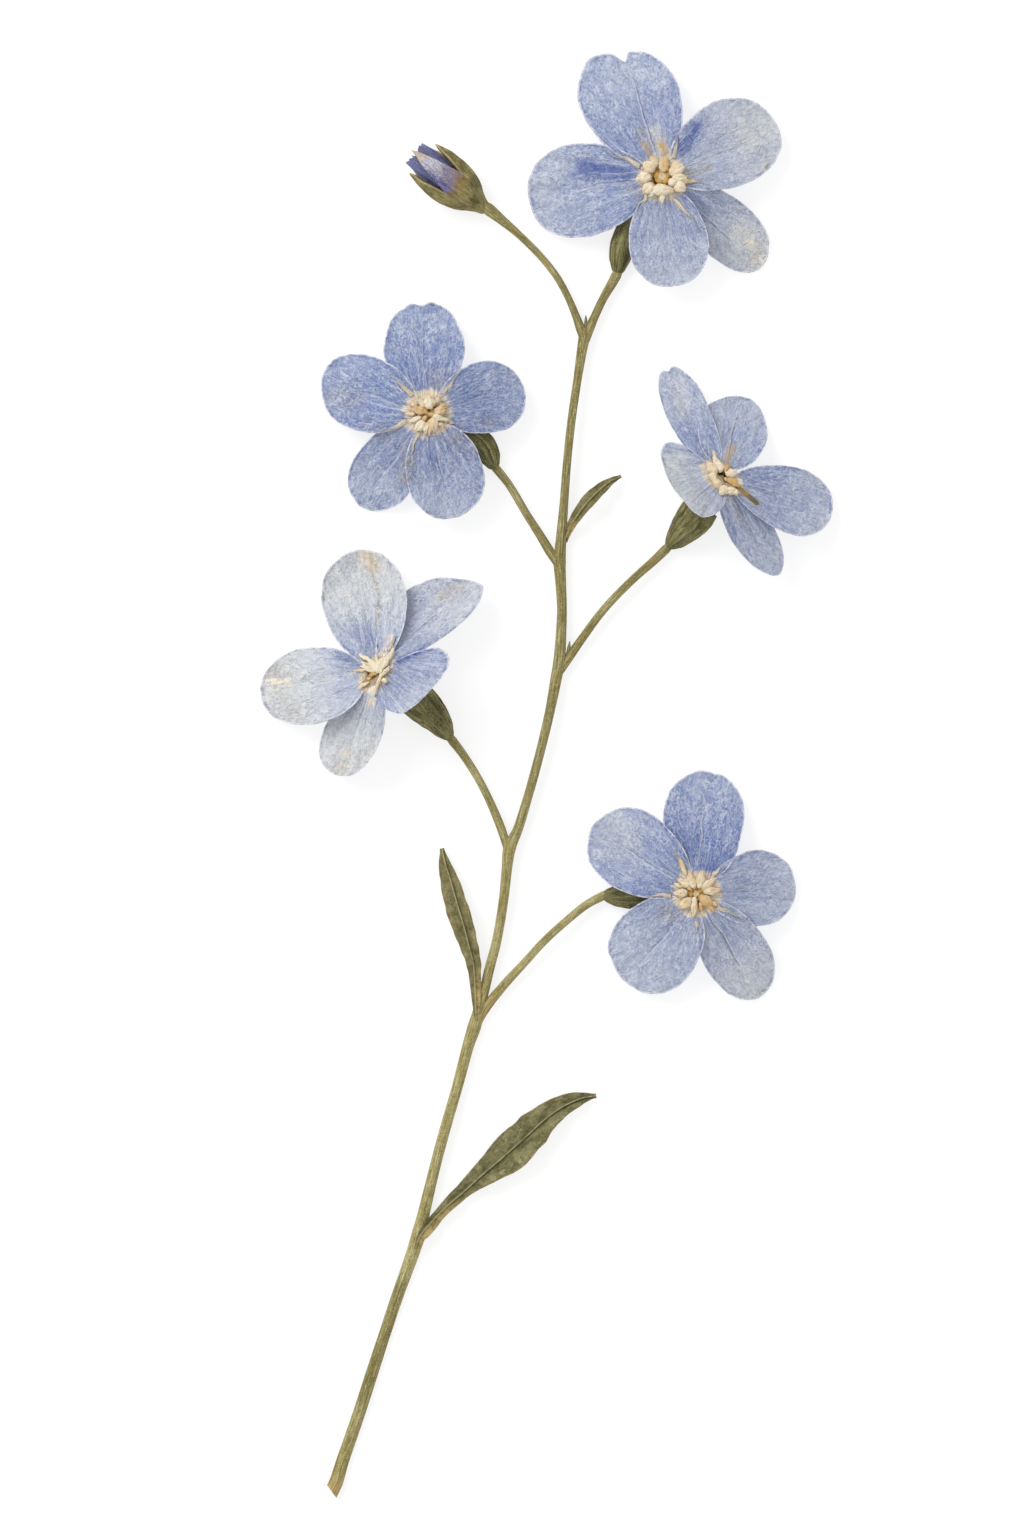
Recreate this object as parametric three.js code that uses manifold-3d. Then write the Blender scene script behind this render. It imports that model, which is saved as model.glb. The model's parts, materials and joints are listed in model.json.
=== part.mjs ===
// A dried forget-me-not sprig, lying flat: one stem with five open blooms, one bud and three leaves.
// Millimetres. X runs across the sprig, Y along it towards the bud, Z up from the surface it lies on.
// The origin is the middle of the sprig's footprint.
import * as THREE from 'three';
import { mergeVertices } from 'three/addons/utils/BufferGeometryUtils.js';
import Module from 'manifold-3d';

const wasm = await Module();
wasm.setup();

// Driving dimensions
const BLADE = 0.6; // thickness of a petal or a leaf
const GAP = 0.06; // clearance between a piece and the one that carries it
const PETAL_GRID = 6; // squares across a petal
const STEM_SIDES = 10;
const STALK_SIDES = 8;
const RIDGE = 0.07; // how far the stem's ridges stand out, as a share of its radius
const REST = 0.6; // height of a stem's centre over its flat underside, as a share of its radius
const CUT_SLANT = 0.55; // slope of the cut end
const CLEARANCE_STRETCH = 6;
const LOBES = 5; // petals, sepals, throat scales and anthers all come in fives
const LIMB_HALF = 0.34; // half the thickness of the corolla round its throat
const LAYER = 0.014; // each petal starts a little higher than the one before
const THROAT = 0.42; // radius of the throat's opening
const THROAT_DEPTH = 0.55;
const LIMB_RADIUS = 1.15; // where the petals leave the fused middle
const STEEPEST = 0.75; // a sheet's depth allows for its slope up to this cosine
const SHORTEST = 0.006; // edges of a joined body shorter than this are drawn together
const CENTRING = new THREE.Vector3(-0.012, -0.062, 0); // moves the footprint's middle to the origin

const UP = new THREE.Vector3(0, 0, 1);
const radians = THREE.MathUtils.degToRad;
const { clamp, lerp, smoothstep } = THREE.MathUtils;

// Bodies

function body(points, faces) {
  const geometry = new THREE.BufferGeometry();
  geometry.setAttribute('position', new THREE.Float32BufferAttribute(points.flat(), 3));
  geometry.setIndex(faces);
  return geometry;
}

// A closed body through rings of equally many points, brought to a point at either end.
function loft(rings, first, last) {
  const count = rings[0].length;
  const faces = [];
  const end = 1 + (rings.length - 1) * count;
  for (let j = 0; j < count; j += 1) {
    const next = (j + 1) % count;
    faces.push(0, 1 + next, 1 + j);
    for (let i = 0; i < rings.length - 1; i += 1) {
      const a = 1 + i * count + j;
      const b = 1 + i * count + next;
      faces.push(a, b, b + count, a, b + count, a + count);
    }
    faces.push(end + j, end + next, end + count);
  }
  return body([first, ...rings.flat(), last], faces);
}

// A closed ring round the Z axis; section(angle) lists its [radius, height] points anticlockwise.
function hoop(section, steps) {
  const points = [];
  const faces = [];
  const count = section(0).length;
  for (let i = 0; i < steps; i += 1) {
    const angle = (2 * Math.PI * i) / steps;
    for (const [radius, height] of section(angle)) {
      points.push([radius * Math.cos(angle), radius * Math.sin(angle), height]);
    }
    const after = ((i + 1) % steps) * count;
    for (let k = 0; k < count; k += 1) {
      const next = (k + 1) % count;
      const here = i * count;
      faces.push(here + k, after + k, after + next, here + k, after + next, here + next);
    }
  }
  return body(points, faces);
}

// A thin sheet over a grid of points. Both faces have the grid's outline, and neither goes below zero.
function sheet(grid, thickness) {
  const rows = grid.length;
  const columns = grid[0].length;
  const at = (row, column) => row * columns + column;
  const upper = [];
  for (let row = 0; row < rows - 1; row += 1) {
    for (let column = 0; column < columns - 1; column += 1) {
      const corner = at(row, column);
      const across = at(row, column + 1);
      const far = at(row + 1, column + 1);
      const along = at(row + 1, column);
      upper.push([corner, across, far], [corner, far, along]);
    }
  }
  const middle = body(grid.flat(), upper.flat());
  middle.computeVertexNormals();
  const { normal } = middle.attributes;
  const depths = grid.flat().map((_, i) => thickness / Math.max(normal.getZ(i), STEEPEST));
  const lower = grid.flat().map(([x, y, z], i) => [x, y, Math.max(z - depths[i] / 2, 0)]);
  const higher = lower.map(([x, y, z], i) => [x, y, z + depths[i]]);
  const rim = [];
  for (let column = 0; column < columns - 1; column += 1) rim.push(at(0, column));
  for (let row = 0; row < rows - 1; row += 1) rim.push(at(row, columns - 1));
  for (let column = columns - 1; column > 0; column -= 1) rim.push(at(rows - 1, column));
  for (let row = rows - 1; row > 0; row -= 1) rim.push(at(row, 0));
  const under = rows * columns;
  const faces = upper.flat();
  for (const [a, b, c] of upper) faces.push(under + a, under + c, under + b);
  rim.forEach((a, i) => {
    const b = rim[(i + 1) % rim.length];
    faces.push(under + a, under + b, b, under + a, b, a);
  });
  return body([...higher, ...lower], faces);
}

function solid(geometry) {
  const bare = geometry.clone();
  bare.deleteAttribute('normal');
  bare.deleteAttribute('uv');
  const merged = mergeVertices(bare, 1e-5);
  return new wasm.Manifold(new wasm.Mesh({
    numProp: 3,
    vertProperties: merged.attributes.position.array,
    triVerts: new Uint32Array(merged.index.array),
  }));
}

// Draws the two ends of every very short edge together, where that leaves the body closed.
function withoutShortEdges(points, faces) {
  const around = points.map(() => new Set());
  faces.forEach((face, i) => face.forEach((corner) => around[corner].add(i)));
  const neighbours = (corner) => new Set([...around[corner]].flatMap((i) => faces[i]));

  function join(kept, lost) {
    for (const i of [...around[lost]]) {
      if (faces[i].includes(kept)) {
        faces[i].forEach((corner) => around[corner].delete(i));
        faces[i] = null;
      } else {
        faces[i] = faces[i].map((corner) => (corner === lost ? kept : corner));
        around[kept].add(i);
      }
    }
  }

  function joinInFace(i) {
    for (let k = 0; k < 3; k += 1) {
      const kept = faces[i][k];
      const lost = faces[i][(k + 1) % 3];
      const far = neighbours(lost);
      const shared = [...neighbours(kept)].filter((corner) => far.has(corner));
      if (points[kept].distanceTo(points[lost]) < SHORTEST && shared.length === 4) {
        join(kept, lost);
        return true;
      }
    }
    return false;
  }

  for (let changed = true; changed;) {
    changed = false;
    faces.forEach((_, i) => {
      if (faces[i] && joinInFace(i)) changed = true;
    });
  }
  return faces.filter((face) => face);
}

// Back from a solid to a geometry whose corners are all clearly apart.
function welded(manifold) {
  const { vertProperties, triVerts } = manifold.simplify(SHORTEST).getMesh();
  const raw = new THREE.BufferGeometry();
  raw.setAttribute('position', new THREE.BufferAttribute(new Float32Array(vertProperties), 3));
  const points = Array.from({ length: vertProperties.length / 3 }, (_, i) => (
    new THREE.Vector3().fromBufferAttribute(raw.attributes.position, i)));
  const faces = Array.from({ length: triVerts.length / 3 }, (_, i) => [...triVerts.slice(3 * i, 3 * i + 3)]);
  raw.setIndex(withoutShortEdges(points, faces).flat());
  return mergeVertices(raw, SHORTEST / 20);
}

function fused(geometries) {
  return geometries.map(solid).reduce((whole, next) => whole.add(next));
}

// Stems

// Places along a smooth path of [x, y, z, radius] knots, with the two directions across it.
function stations(knots, perSpan, fixedSide) {
  const places = knots.map(([x, y, z]) => new THREE.Vector3(x, y, z));
  const curve = new THREE.CatmullRomCurve3(places, false, 'centripetal');
  const spans = knots.length - 1;
  const total = spans * perSpan;
  return Array.from({ length: total + 1 }, (_, i) => {
    const t = i / total;
    const span = Math.min(Math.floor(t * spans), spans - 1);
    const radius = lerp(knots[span][3], knots[span + 1][3], t * spans - span);
    const tangent = curve.getTangent(t);
    const side = fixedSide ?? new THREE.Vector3().crossVectors(UP, tangent).normalize();
    const up = new THREE.Vector3().crossVectors(tangent, side);
    return { centre: curve.getPoint(t), tangent, side, up, radius };
  });
}

function place({ centre, side, up }, angle, radius) {
  const point = centre.clone();
  point.addScaledVector(side, radius * Math.cos(angle));
  point.addScaledVector(up, radius * Math.sin(angle));
  return point;
}

function onOrAbove(point) {
  point.z = Math.max(point.z, 0);
  return point.toArray();
}

// Stem knots are [x, y, width, lift of the underside]; extra widens the stem for a clearance.
function stemPath(knots, extra = 0) {
  return knots.map(([x, y, width, lift]) => [x, y, REST * (width / 2) + lift, width / 2 + extra]);
}

function ridgedStem(path, sides, slant = 0) {
  const ringAt = (station, shear) => Array.from({ length: sides }, (_, j) => {
    const angle = (2 * Math.PI * (j + 0.5)) / sides;
    const ridge = 1 + RIDGE * (j % 2 ? 1 : -1);
    const point = place(station, angle, station.radius * ridge);
    point.addScaledVector(station.tangent, shear * station.radius * Math.cos(angle));
    return onOrAbove(point);
  });
  const along = stations(path, 1);
  const rings = along.map((station, i) => ringAt(station, i === 0 ? slant : 0));
  return loft(rings, onOrAbove(along[0].centre.clone()), onOrAbove(along.at(-1).centre.clone()));
}

const MAIN_STEM = [
  [-10.3, -34.45, 0.68, 0], [-10.1, -34.0, 0.68, 0], [-9.79, -33.0, 0.62, 0], [-9.1, -31.0, 0.6, 0],
  [-8.45, -29.0, 0.6, 0], [-7.8, -27.0, 0.57, 0], [-7.13, -25.0, 0.58, 0], [-6.45, -23.1, 0.64, 0],
  [-6.1, -22.0, 0.7, 0], [-5.86, -21.0, 0.58, 0.05], [-5.38, -19.0, 0.52, 0.2],
  [-4.85, -17.0, 0.52, 0.3], [-4.27, -15.0, 0.52, 0.25], [-3.74, -13.0, 0.56, 0.1],
  [-3.45, -12.1, 0.66, 0.05], [-3.0, -10.5, 0.48, 0.12], [-2.72, -9.3, 0.48, 0.2],
  [-2.38, -8.0, 0.46, 0.3], [-2.04, -6.0, 0.46, 0.42], [-1.88, -4.5, 0.5, 0.4],
  [-1.75, -3.5, 0.62, 0.3], [-1.36, -2.6, 0.48, 0.3], [-0.86, -1.0, 0.44, 0.4],
  [-0.31, 1.0, 0.44, 0.5], [0.17, 3.0, 0.46, 0.45], [0.46, 4.5, 0.54, 0.3], [0.64, 5.5, 0.58, 0.25],
  [0.71, 6.5, 0.52, 0.25], [0.77, 8.0, 0.46, 0.3], [0.71, 9.3, 0.52, 0.3], [0.66, 10.3, 0.6, 0.25],
  [0.74, 11.5, 0.5, 0.25], [0.86, 13.0, 0.42, 0.35], [1.01, 15.0, 0.4, 0.5], [1.22, 17.0, 0.4, 0.55],
  [1.51, 19.0, 0.4, 0.45], [1.74, 20.5, 0.5, 0.3], [1.86, 21.3, 0.56, 0.25],
];

// Each flower stalk starts inside the main stem.
const FLOWER_STALKS = [
  [[1.9, 20.9, 0.4, 0.32], [2.1, 21.5, 0.46, 0.3], [2.36, 22.1, 0.4, 0.32], [2.79, 23.0, 0.4, 0.28],
    [3.14, 23.6, 0.42, 0.25], [3.4, 24.08, 0.44, 0.22]],
  [[0.62, 10.1, 0.4, 0.3], [0.14, 10.85, 0.46, 0.3], [-0.25, 11.5, 0.42, 0.38],
    [-0.89, 12.5, 0.38, 0.45], [-1.79, 14.0, 0.38, 0.35], [-2.4, 14.77, 0.42, 0.25]],
  [[0.66, 5.0, 0.4, 0.25], [1.12, 5.7, 0.44, 0.26], [1.68, 6.5, 0.4, 0.32], [2.8, 8.0, 0.38, 0.42],
    [4.1, 9.35, 0.38, 0.42], [5.27, 10.4, 0.42, 0.32], [5.77, 10.89, 0.46, 0.28]],
  [[-1.82, -3.6, 0.4, 0.32], [-2.17, -2.5, 0.42, 0.35], [-2.81, -1.0, 0.38, 0.45],
    [-3.34, 0.0, 0.38, 0.45], [-3.98, 1.0, 0.4, 0.35], [-4.5, 1.68, 0.46, 0.28]],
  [[-3.5, -12.3, 0.4, 0.12], [-2.95, -11.25, 0.48, 0.15], [-1.95, -10.0, 0.42, 0.25],
    [-1.03, -9.0, 0.38, 0.4], [-0.12, -8.0, 0.38, 0.5], [0.91, -7.05, 0.38, 0.5],
    [1.97, -6.2, 0.4, 0.35], [2.72, -5.8, 0.44, 0.22]],
];

const BUD_STALK = [
  [1.85, 20.9, 0.4, 0.3], [1.66, 21.5, 0.46, 0.3], [1.44, 22.1, 0.37, 0.35], [1.06, 23.0, 0.34, 0.45],
  [0.5, 24.0, 0.34, 0.55], [-0.3, 25.0, 0.34, 0.6], [-1.31, 26.0, 0.35, 0.6],
  [-2.13, 26.7, 0.38, 0.6], [-2.75, 27.2, 0.42, 0.62],
];

// Two tiny stubs in the axils of the stalks.
const STUBS = [
  [[1.9, 21.3, 0.2, 0.35], [1.92, 21.8, 0.18, 0.4], [1.92, 22.12, 0.14, 0.42]],
  [[1.0, 5.5, 0.2, 0.3], [1.1, 6.1, 0.2, 0.36], [1.14, 6.45, 0.14, 0.4]],
];

function makeStem() {
  const main = ridgedStem(stemPath(MAIN_STEM), STEM_SIDES, CUT_SLANT);
  const stalks = [...FLOWER_STALKS, BUD_STALK].map((knots) => ridgedStem(stemPath(knots), STALK_SIDES));
  const stubs = STUBS.map((knots) => ridgedStem(stemPath(knots), 5));
  return welded(fused([main, ...stalks, ...stubs]));
}

// The stem a little wider and much taller than it is, which trims a leaf's foot to sit beside it.
function stemClearance(from, to) {
  const path = stemPath(MAIN_STEM.slice(from, to), GAP);
  const height = path[Math.floor(path.length / 2)][2];
  const tall = ridgedStem(path, STEM_SIDES);
  tall.scale(1, 1, CLEARANCE_STRETCH);
  tall.translate(0, 0, -(CLEARANCE_STRETCH - 1) * height);
  return solid(tall);
}

// Blooms

// How high the corolla's middle surface lies at a point, before a petal adds its own shape.
function limbHeight(bloom, x, y) {
  const offset = (x - bloom.centre[0]) * bloom.facing.x + (y - bloom.centre[1]) * bloom.facing.y;
  return bloom.height - Math.tan(bloom.tilt) * offset;
}

// The outline runs round the petal by an angle that is zero at its tip.
function petalOutline(petal, angle) {
  const half = (petal.reach - petal.root) / 2;
  const leaning = 1 + petal.lean * Math.sign(Math.sin(angle));
  const cleft = petal.notch * Math.exp(-(((angle - petal.notchAt) / petal.notchSpan) ** 2));
  const across = (petal.width / 2) * Math.sin(angle) * (1 + petal.egg * Math.cos(angle)) * leaning;
  const along = petal.root + half * (1 + Math.cos(angle)) - cleft + petal.skew * across;
  return [along, across + petal.sweep * (along / petal.reach) ** 2];
}

// A point of the petal's middle surface, for a place in the unit disc.
function petalPoint(bloom, petal, p, q) {
  const rho = Math.hypot(p, q);
  const angle = Math.atan2(q, p);
  const [edgeAlong, edgeAcross] = petalOutline(petal, angle);
  const heart = petal.root + 0.53 * (petal.reach - petal.root);
  const heartAcross = petal.sweep * (heart / petal.reach) ** 2;
  const along = lerp(heart, edgeAlong, rho);
  const across = lerp(heartAcross, edgeAcross, rho);
  const cos = Math.cos(radians(petal.aim));
  const sin = Math.sin(radians(petal.aim));
  const x = bloom.centre[0] + along * cos - across * sin;
  const y = bloom.centre[1] + along * sin + across * cos;
  const out = clamp((along - bloom.limb) / (petal.reach - bloom.limb), 0, 1);
  const spread = (across - petal.sweep * (along / petal.reach) ** 2) / (petal.width / 2);
  const leave = smoothstep(out, 0, 0.35);
  let z = limbHeight(bloom, x, y) + petal.layer + petal.rise * out + petal.bow * Math.sin(Math.PI * out);
  z += leave * (petal.level + petal.twist * spread + petal.cup * spread * spread);
  z -= petal.crease * leave * Math.exp(-((spread / 0.2) ** 2)) * (1 - out * out);
  z += petal.wave * out * rho ** 3 * Math.sin(petal.waves * angle + petal.phase);
  return [x, y, Math.max(z, BLADE / 2 + petal.lowest)];
}

function petalGrid(bloom, petal) {
  return Array.from({ length: PETAL_GRID + 1 }, (_, j) => Array.from({ length: PETAL_GRID + 1 }, (__, i) => {
    const u = (2 * i) / PETAL_GRID - 1;
    const v = (2 * j) / PETAL_GRID - 1;
    return petalPoint(bloom, petal, u * Math.sqrt(1 - (v * v) / 2), v * Math.sqrt(1 - (u * u) / 2));
  }));
}

const PLAIN_PETAL = {
  root: 0.46, egg: 0.3, lean: 0, sweep: 0, skew: 0, notch: 0, notchAt: 0, notchSpan: 0.14,
  level: 0, rise: -1.0, bow: 0.1, twist: 0, cup: 0, crease: 0.12, wave: 0.12, waves: 5, lowest: 0,
};

// Turns a shape made round the Z axis so that it faces as the bloom does, squeezed as the bloom is.
function onBloom(bloom, geometry) {
  const normal = new THREE.Vector3(bloom.facing.x, bloom.facing.y, 0).multiplyScalar(Math.sin(bloom.tilt));
  normal.z = Math.cos(bloom.tilt);
  const across = new THREE.Vector3(-bloom.facing.y, bloom.facing.x, 0);
  const forward = new THREE.Vector3().crossVectors(across, normal);
  const turn = new THREE.Matrix4().makeBasis(forward, across, normal);
  turn.setPosition(bloom.centre[0], bloom.centre[1], bloom.height);
  return geometry.scale(bloom.squeeze, 1, 1).applyMatrix4(turn);
}

// The line from the stalk's end through calyx and tube to the throat.
function bloomAxis(bloom) {
  const plan = [bloom.foot, bloom.via, bloom.centre].map(([x, y]) => new THREE.Vector3(x, y, 0));
  const course = new THREE.CatmullRomCurve3(plan, false, 'centripetal');
  const points = bloom.rises.map(([share, height]) => course.getPointAt(share).setZ(height));
  const curve = new THREE.CatmullRomCurve3(points, false, 'centripetal');
  const heading = course.getTangentAt(1);
  return (share) => {
    const tangent = curve.getTangentAt(clamp(share, 0, 1));
    const level = tangent.clone().setZ(0).addScaledVector(heading, 0.02);
    const side = new THREE.Vector3().crossVectors(UP, level).normalize();
    const up = new THREE.Vector3().crossVectors(tangent, side);
    return { centre: curve.getPointAt(clamp(share, 0, 1)), tangent, side, up };
  };
}

function between(table, value) {
  const next = Math.max(1, table.findIndex(([share]) => share >= value));
  const [lowShare, low] = table[next - 1];
  const [highShare, high] = table[next];
  return lerp(low, high, clamp((value - lowShare) / (highShare - lowShare), 0, 1));
}

// A ribbed cup along an axis, with one pointed tooth to each lobe round its mouth.
function toothedCup(axis, shape) {
  const count = LOBES * 4;
  const ringOf = (shareAt, radiusAt) => Array.from({ length: count }, (_, k) => {
    const angle = (2 * Math.PI * k) / count + shape.turn;
    const wave = Math.cos((2 * Math.PI * k) / 4);
    const fullness = (0.5 + 0.5 * wave) ** 0.6;
    const front = shape.front * Math.max(Math.sin(angle), 0) ** 3;
    const rim = lerp(shape.mouth, shape.tips + front, fullness);
    const share = shareAt(rim);
    return onOrAbove(place(axis(share), angle, radiusAt(share, wave)));
  });
  const outside = (share, wave) => between(shape.radii, share) * (1 + shape.rib * wave);
  const rings = [];
  for (let i = 0; i <= shape.outerRings; i += 1) {
    const part = i / shape.outerRings;
    rings.push(ringOf((rim) => part * lerp(shape.mouth, rim, part), outside));
  }
  for (let i = 0; i <= shape.innerRings; i += 1) {
    const inside = (share) => between(shape.radii, share) - shape.wall;
    rings.push(ringOf((rim) => lerp(rim, shape.floor, i / shape.innerRings), inside));
  }
  return loft(rings, axis(0).centre.toArray(), axis(shape.floor).centre.toArray());
}

function tube(axis, from, to, radii, sides, steps) {
  const ringAt = (share) => Array.from({ length: sides }, (_, j) => (
    place(axis(share), (2 * Math.PI * j) / sides, between(radii, share)).toArray()));
  const rings = Array.from({ length: steps + 1 }, (_, i) => ringAt(lerp(from, to, i / steps)));
  return loft(rings, axis(from).centre.toArray(), axis(to).centre.toArray());
}

// A plain round bar up the Z axis, from [radius, height] pairs.
function turned(profile, sides) {
  const rings = profile.map(([radius, height]) => Array.from({ length: sides }, (_, j) => {
    const angle = (2 * Math.PI * j) / sides;
    return [radius * Math.cos(angle), radius * Math.sin(angle), height];
  }));
  return loft(rings, [0, 0, profile[0][1]], [0, 0, profile.at(-1)[1]]);
}

function makeCorolla(bloom) {
  const limb = onBloom(bloom, hoop(() => [
    [THROAT, -LIMB_HALF], [bloom.limb, -LIMB_HALF], [bloom.limb, LIMB_HALF], [THROAT, LIMB_HALF],
  ], 20));
  const petals = bloom.petals.map((petal) => sheet(petalGrid(bloom, petal), BLADE));
  const pipe = tube(bloom.axis, bloom.tubeFrom, 1, bloom.tubeRadii, 10, 6);
  const bore = onBloom(bloom, turned([[THROAT, -THROAT_DEPTH], [THROAT, 2 * LIMB_HALF]], 20));
  return welded(fused([limb, ...petals, pipe]).subtract(solid(bore)));
}

// Five cream scales in a ring on top of the limb, each parted down its middle.
function makeEye(bloom) {
  const start = radians(bloom.petals[0].aim) - Math.atan2(bloom.facing.y, bloom.facing.x);
  const base = LIMB_HALF + GAP;
  return onBloom(bloom, hoop((angle) => {
    const turn = (((angle - start) * LOBES) / (2 * Math.PI)) % 1;
    const off = Math.abs(turn - Math.round(turn)) * 2;
    const height = 0.14 + 0.28 * (1 - off ** 3) - 0.09 * Math.exp(-((off / 0.16) ** 2));
    const outer = 1.04 - 0.16 * off ** 2;
    return [[0.44, base], [outer, base], [outer, base + height * 0.5], [0.82, base + height],
      [0.55, base + height * 0.9]];
  }, 30));
}

// Five golden anthers in a ring, inside the throat.
function makeAnthers(bloom) {
  return onBloom(bloom, hoop((angle) => {
    const bulge = 0.5 + 0.5 * Math.cos(LOBES * angle);
    const top = 0.18 + 0.16 * bulge;
    return [[0.17, -0.2], [0.26, -0.2], [0.3 + 0.06 * bulge, 0.05], [0.27, top], [0.19, top - 0.06]];
  }, 20));
}

// The tip of the style, standing in the middle of the throat.
function makePistil(bloom) {
  const foot = GAP - THROAT_DEPTH;
  return onBloom(bloom, turned([[0.08, foot], [0.07, 0.1], [0.12, 0.2], [0.11, 0.3], [0.06, 0.36]], 8));
}

const FACE_UP = {
  tilt: 0, squeeze: 1, height: 1.95, limb: LIMB_RADIUS,
  rises: [[0, 0.35], [0.3, 0.6], [0.6, 0.66], [0.84, 0.78], [0.97, 1.15], [1, 1.8]],
  calyx: { radii: [[0, 0.2], [0.1, 0.48], [0.25, 0.57], [0.5, 0.56], [0.62, 0.5]], mouth: 0.44, tips: 0.6,
    front: 0, floor: 0.3, wall: 0.21, rib: 0.08, turn: 0.3, outerRings: 5, innerRings: 2 },
  tubeFrom: 0.33, tubeRadii: [[0, 0.3], [0.7, 0.3], [0.85, 0.42], [1, 0.64]],
};

const HALF_TURNED = {
  tilt: radians(28), squeeze: 0.62, height: 2.75, limb: 0.95,
  rises: [[0, 0.38], [0.3, 0.9], [0.6, 1.45], [0.85, 2.05], [1, 2.5]],
  calyx: { radii: [[0, 0.22], [0.12, 0.48], [0.3, 0.71], [0.5, 0.88], [0.66, 0.76]], mouth: 0.5, tips: 0.64,
    front: 0, floor: 0.36, wall: 0.21, rib: 0.07, turn: 0.3, outerRings: 6, innerRings: 2 },
  tubeFrom: 0.4, tubeRadii: [[0, 0.48], [0.7, 0.5], [1, 0.6]],
};

// A petal's aim is in degrees from X, its reach is from the throat's middle, and its left is the left
// of someone who looks out along it. A notch below zero is a point.
const BLOOMS = [
  { ...FACE_UP, centre: [5.56, 28.66], via: [3.88, 26.1], foot: [3.44, 24.16], petals: [
    { aim: 107, reach: 6.55, width: 4.85, lean: 0.08, sweep: 0.35, notch: 0.45, notchAt: -0.06, rise: -1.5 },
    { aim: 22, reach: 6.15, width: 4.25, egg: 0.15, lean: 0.14, sweep: 0.15, level: 0.22, rise: -1.1 },
    { aim: -43, reach: 6.45, width: 2.95, egg: 0.22, lean: 0.2, sweep: 0.18, level: -0.1, rise: -1.7 },
    { aim: -83, reach: 5.3, width: 3.85, egg: 0.12, lean: -0.04, level: 0.25, rise: -0.45 },
    { aim: 186, reach: 6.55, width: 4.5, egg: 0.2, lean: 0.08, level: -0.05, rise: -1.5 },
  ] },
  { ...FACE_UP, centre: [-5.69, 17.38], via: [-3.08, 15.97], foot: [-2.45, 14.8], petals: [
    { aim: 93.2, reach: 5.45, width: 3.9, egg: 0.1, notch: 0.14, level: -0.1, rise: -1.65 },
    { aim: 13, reach: 4.85, width: 3.5, egg: 0.16, lean: 0.06, level: 0.2, rise: -1.1 },
    { aim: -77, reach: 5.25, width: 3.78, egg: 0.1, lean: 0.1, level: 0.2, rise: -0.6 },
    { aim: 232.5, reach: 5.5, width: 3.15, egg: 0.2, sweep: 0.05, level: -0.1, rise: -1.7 },
    { aim: 162, reach: 5.4, width: 3.7, egg: 0.16, lean: 0.04, sweep: -0.15, level: 0.2, rise: -1.4 },
  ] },
  { ...HALF_TURNED, centre: [8.4, 14.25], via: [7.06, 12.28], foot: [5.83, 10.95], petals: [
    { aim: 117, reach: 6.0, width: 2.1, egg: 0.14, sweep: -0.12, notch: 0.16, rise: -0.6 },
    { aim: 73.5, reach: 4.15, width: 3.38, egg: 0.02, lean: 0.03, sweep: 0.12, level: -0.2, rise: -0.5 },
    { aim: -14.8, reach: 5.6, width: 3.1, sweep: -0.3, rise: -1.0 },
    { aim: -61.8, reach: 5.38, width: 2.15, egg: -0.04, sweep: 0.25, level: 0.1, rise: -2.4 },
    { aim: 220, root: 0, reach: 2.12, width: 4.1, egg: 0, lean: -0.47, level: 0.25, rise: 0.5, crease: 0.04 },
  ] },
  { ...HALF_TURNED, centre: [-8.15, 4.92], via: [-5.98, 3.48], foot: [-4.54, 1.73], petals: [
    { aim: 99.2, reach: 6.0, width: 4.12, egg: 0.18, level: -0.1, rise: -0.5 },
    { aim: 50, reach: 6.3, width: 2.64, egg: 0.1, lean: 0.22, sweep: -1.1, notch: -0.3, notchSpan: 0.3, rise: -2.2 },
    { aim: -55, root: 0, reach: 2.4, width: 4.3, egg: 0, lean: 0.62, level: 0.25, rise: 0.5, crease: 0.04 },
    { aim: 251.5, reach: 5.3, width: 2.75, egg: 0.15, lean: -0.1, skew: -0.25, level: -0.1, rise: -1.9 },
    { aim: 188.7, reach: 5.7, width: 3.76, egg: 0.08, lean: 0.05, sweep: 0.12, level: 0.1, rise: -0.4 },
  ] },
  { ...FACE_UP, centre: [7.27, -5.67], via: [4.6, -5.8], foot: [2.79, -5.77], petals: [
    { aim: 85, reach: 5.95, width: 3.95, egg: 0.12, notch: 0.12, notchAt: -0.15, level: -0.1, rise: -1.65 },
    { aim: 3.6, reach: 4.8, width: 3.65, egg: 0.15, lean: 0.05, level: 0.05, rise: -1.4 },
    { aim: -60.3, reach: 5.87, width: 3.2, egg: 0.14, lean: 0.08, sweep: 0.1, level: 0.15, rise: -1.85 },
    { aim: 230.5, reach: 5.55, width: 4.35, egg: 0.12, lean: 0.03, level: -0.1, rise: -1.0 },
    { aim: 148, reach: 6.0, width: 3.9, lean: -0.04, sweep: -0.05, egg: 0.24, level: 0.22, rise: -0.8 },
  ] },
].map((entry, number) => {
  const dx = entry.centre[0] - entry.via[0];
  const dy = entry.centre[1] - entry.via[1];
  const facing = { x: dx / Math.hypot(dx, dy), y: dy / Math.hypot(dx, dy) };
  const petals = entry.petals.map((petal, i) => ({ ...PLAIN_PETAL, phase: 2.4 * i + number, ...petal }));
  petals.forEach((petal, i) => {
    petal.layer = LAYER * (i - 2);
  });
  return { ...entry, facing, petals, axis: bloomAxis(entry) };
});

// Bud

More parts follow.
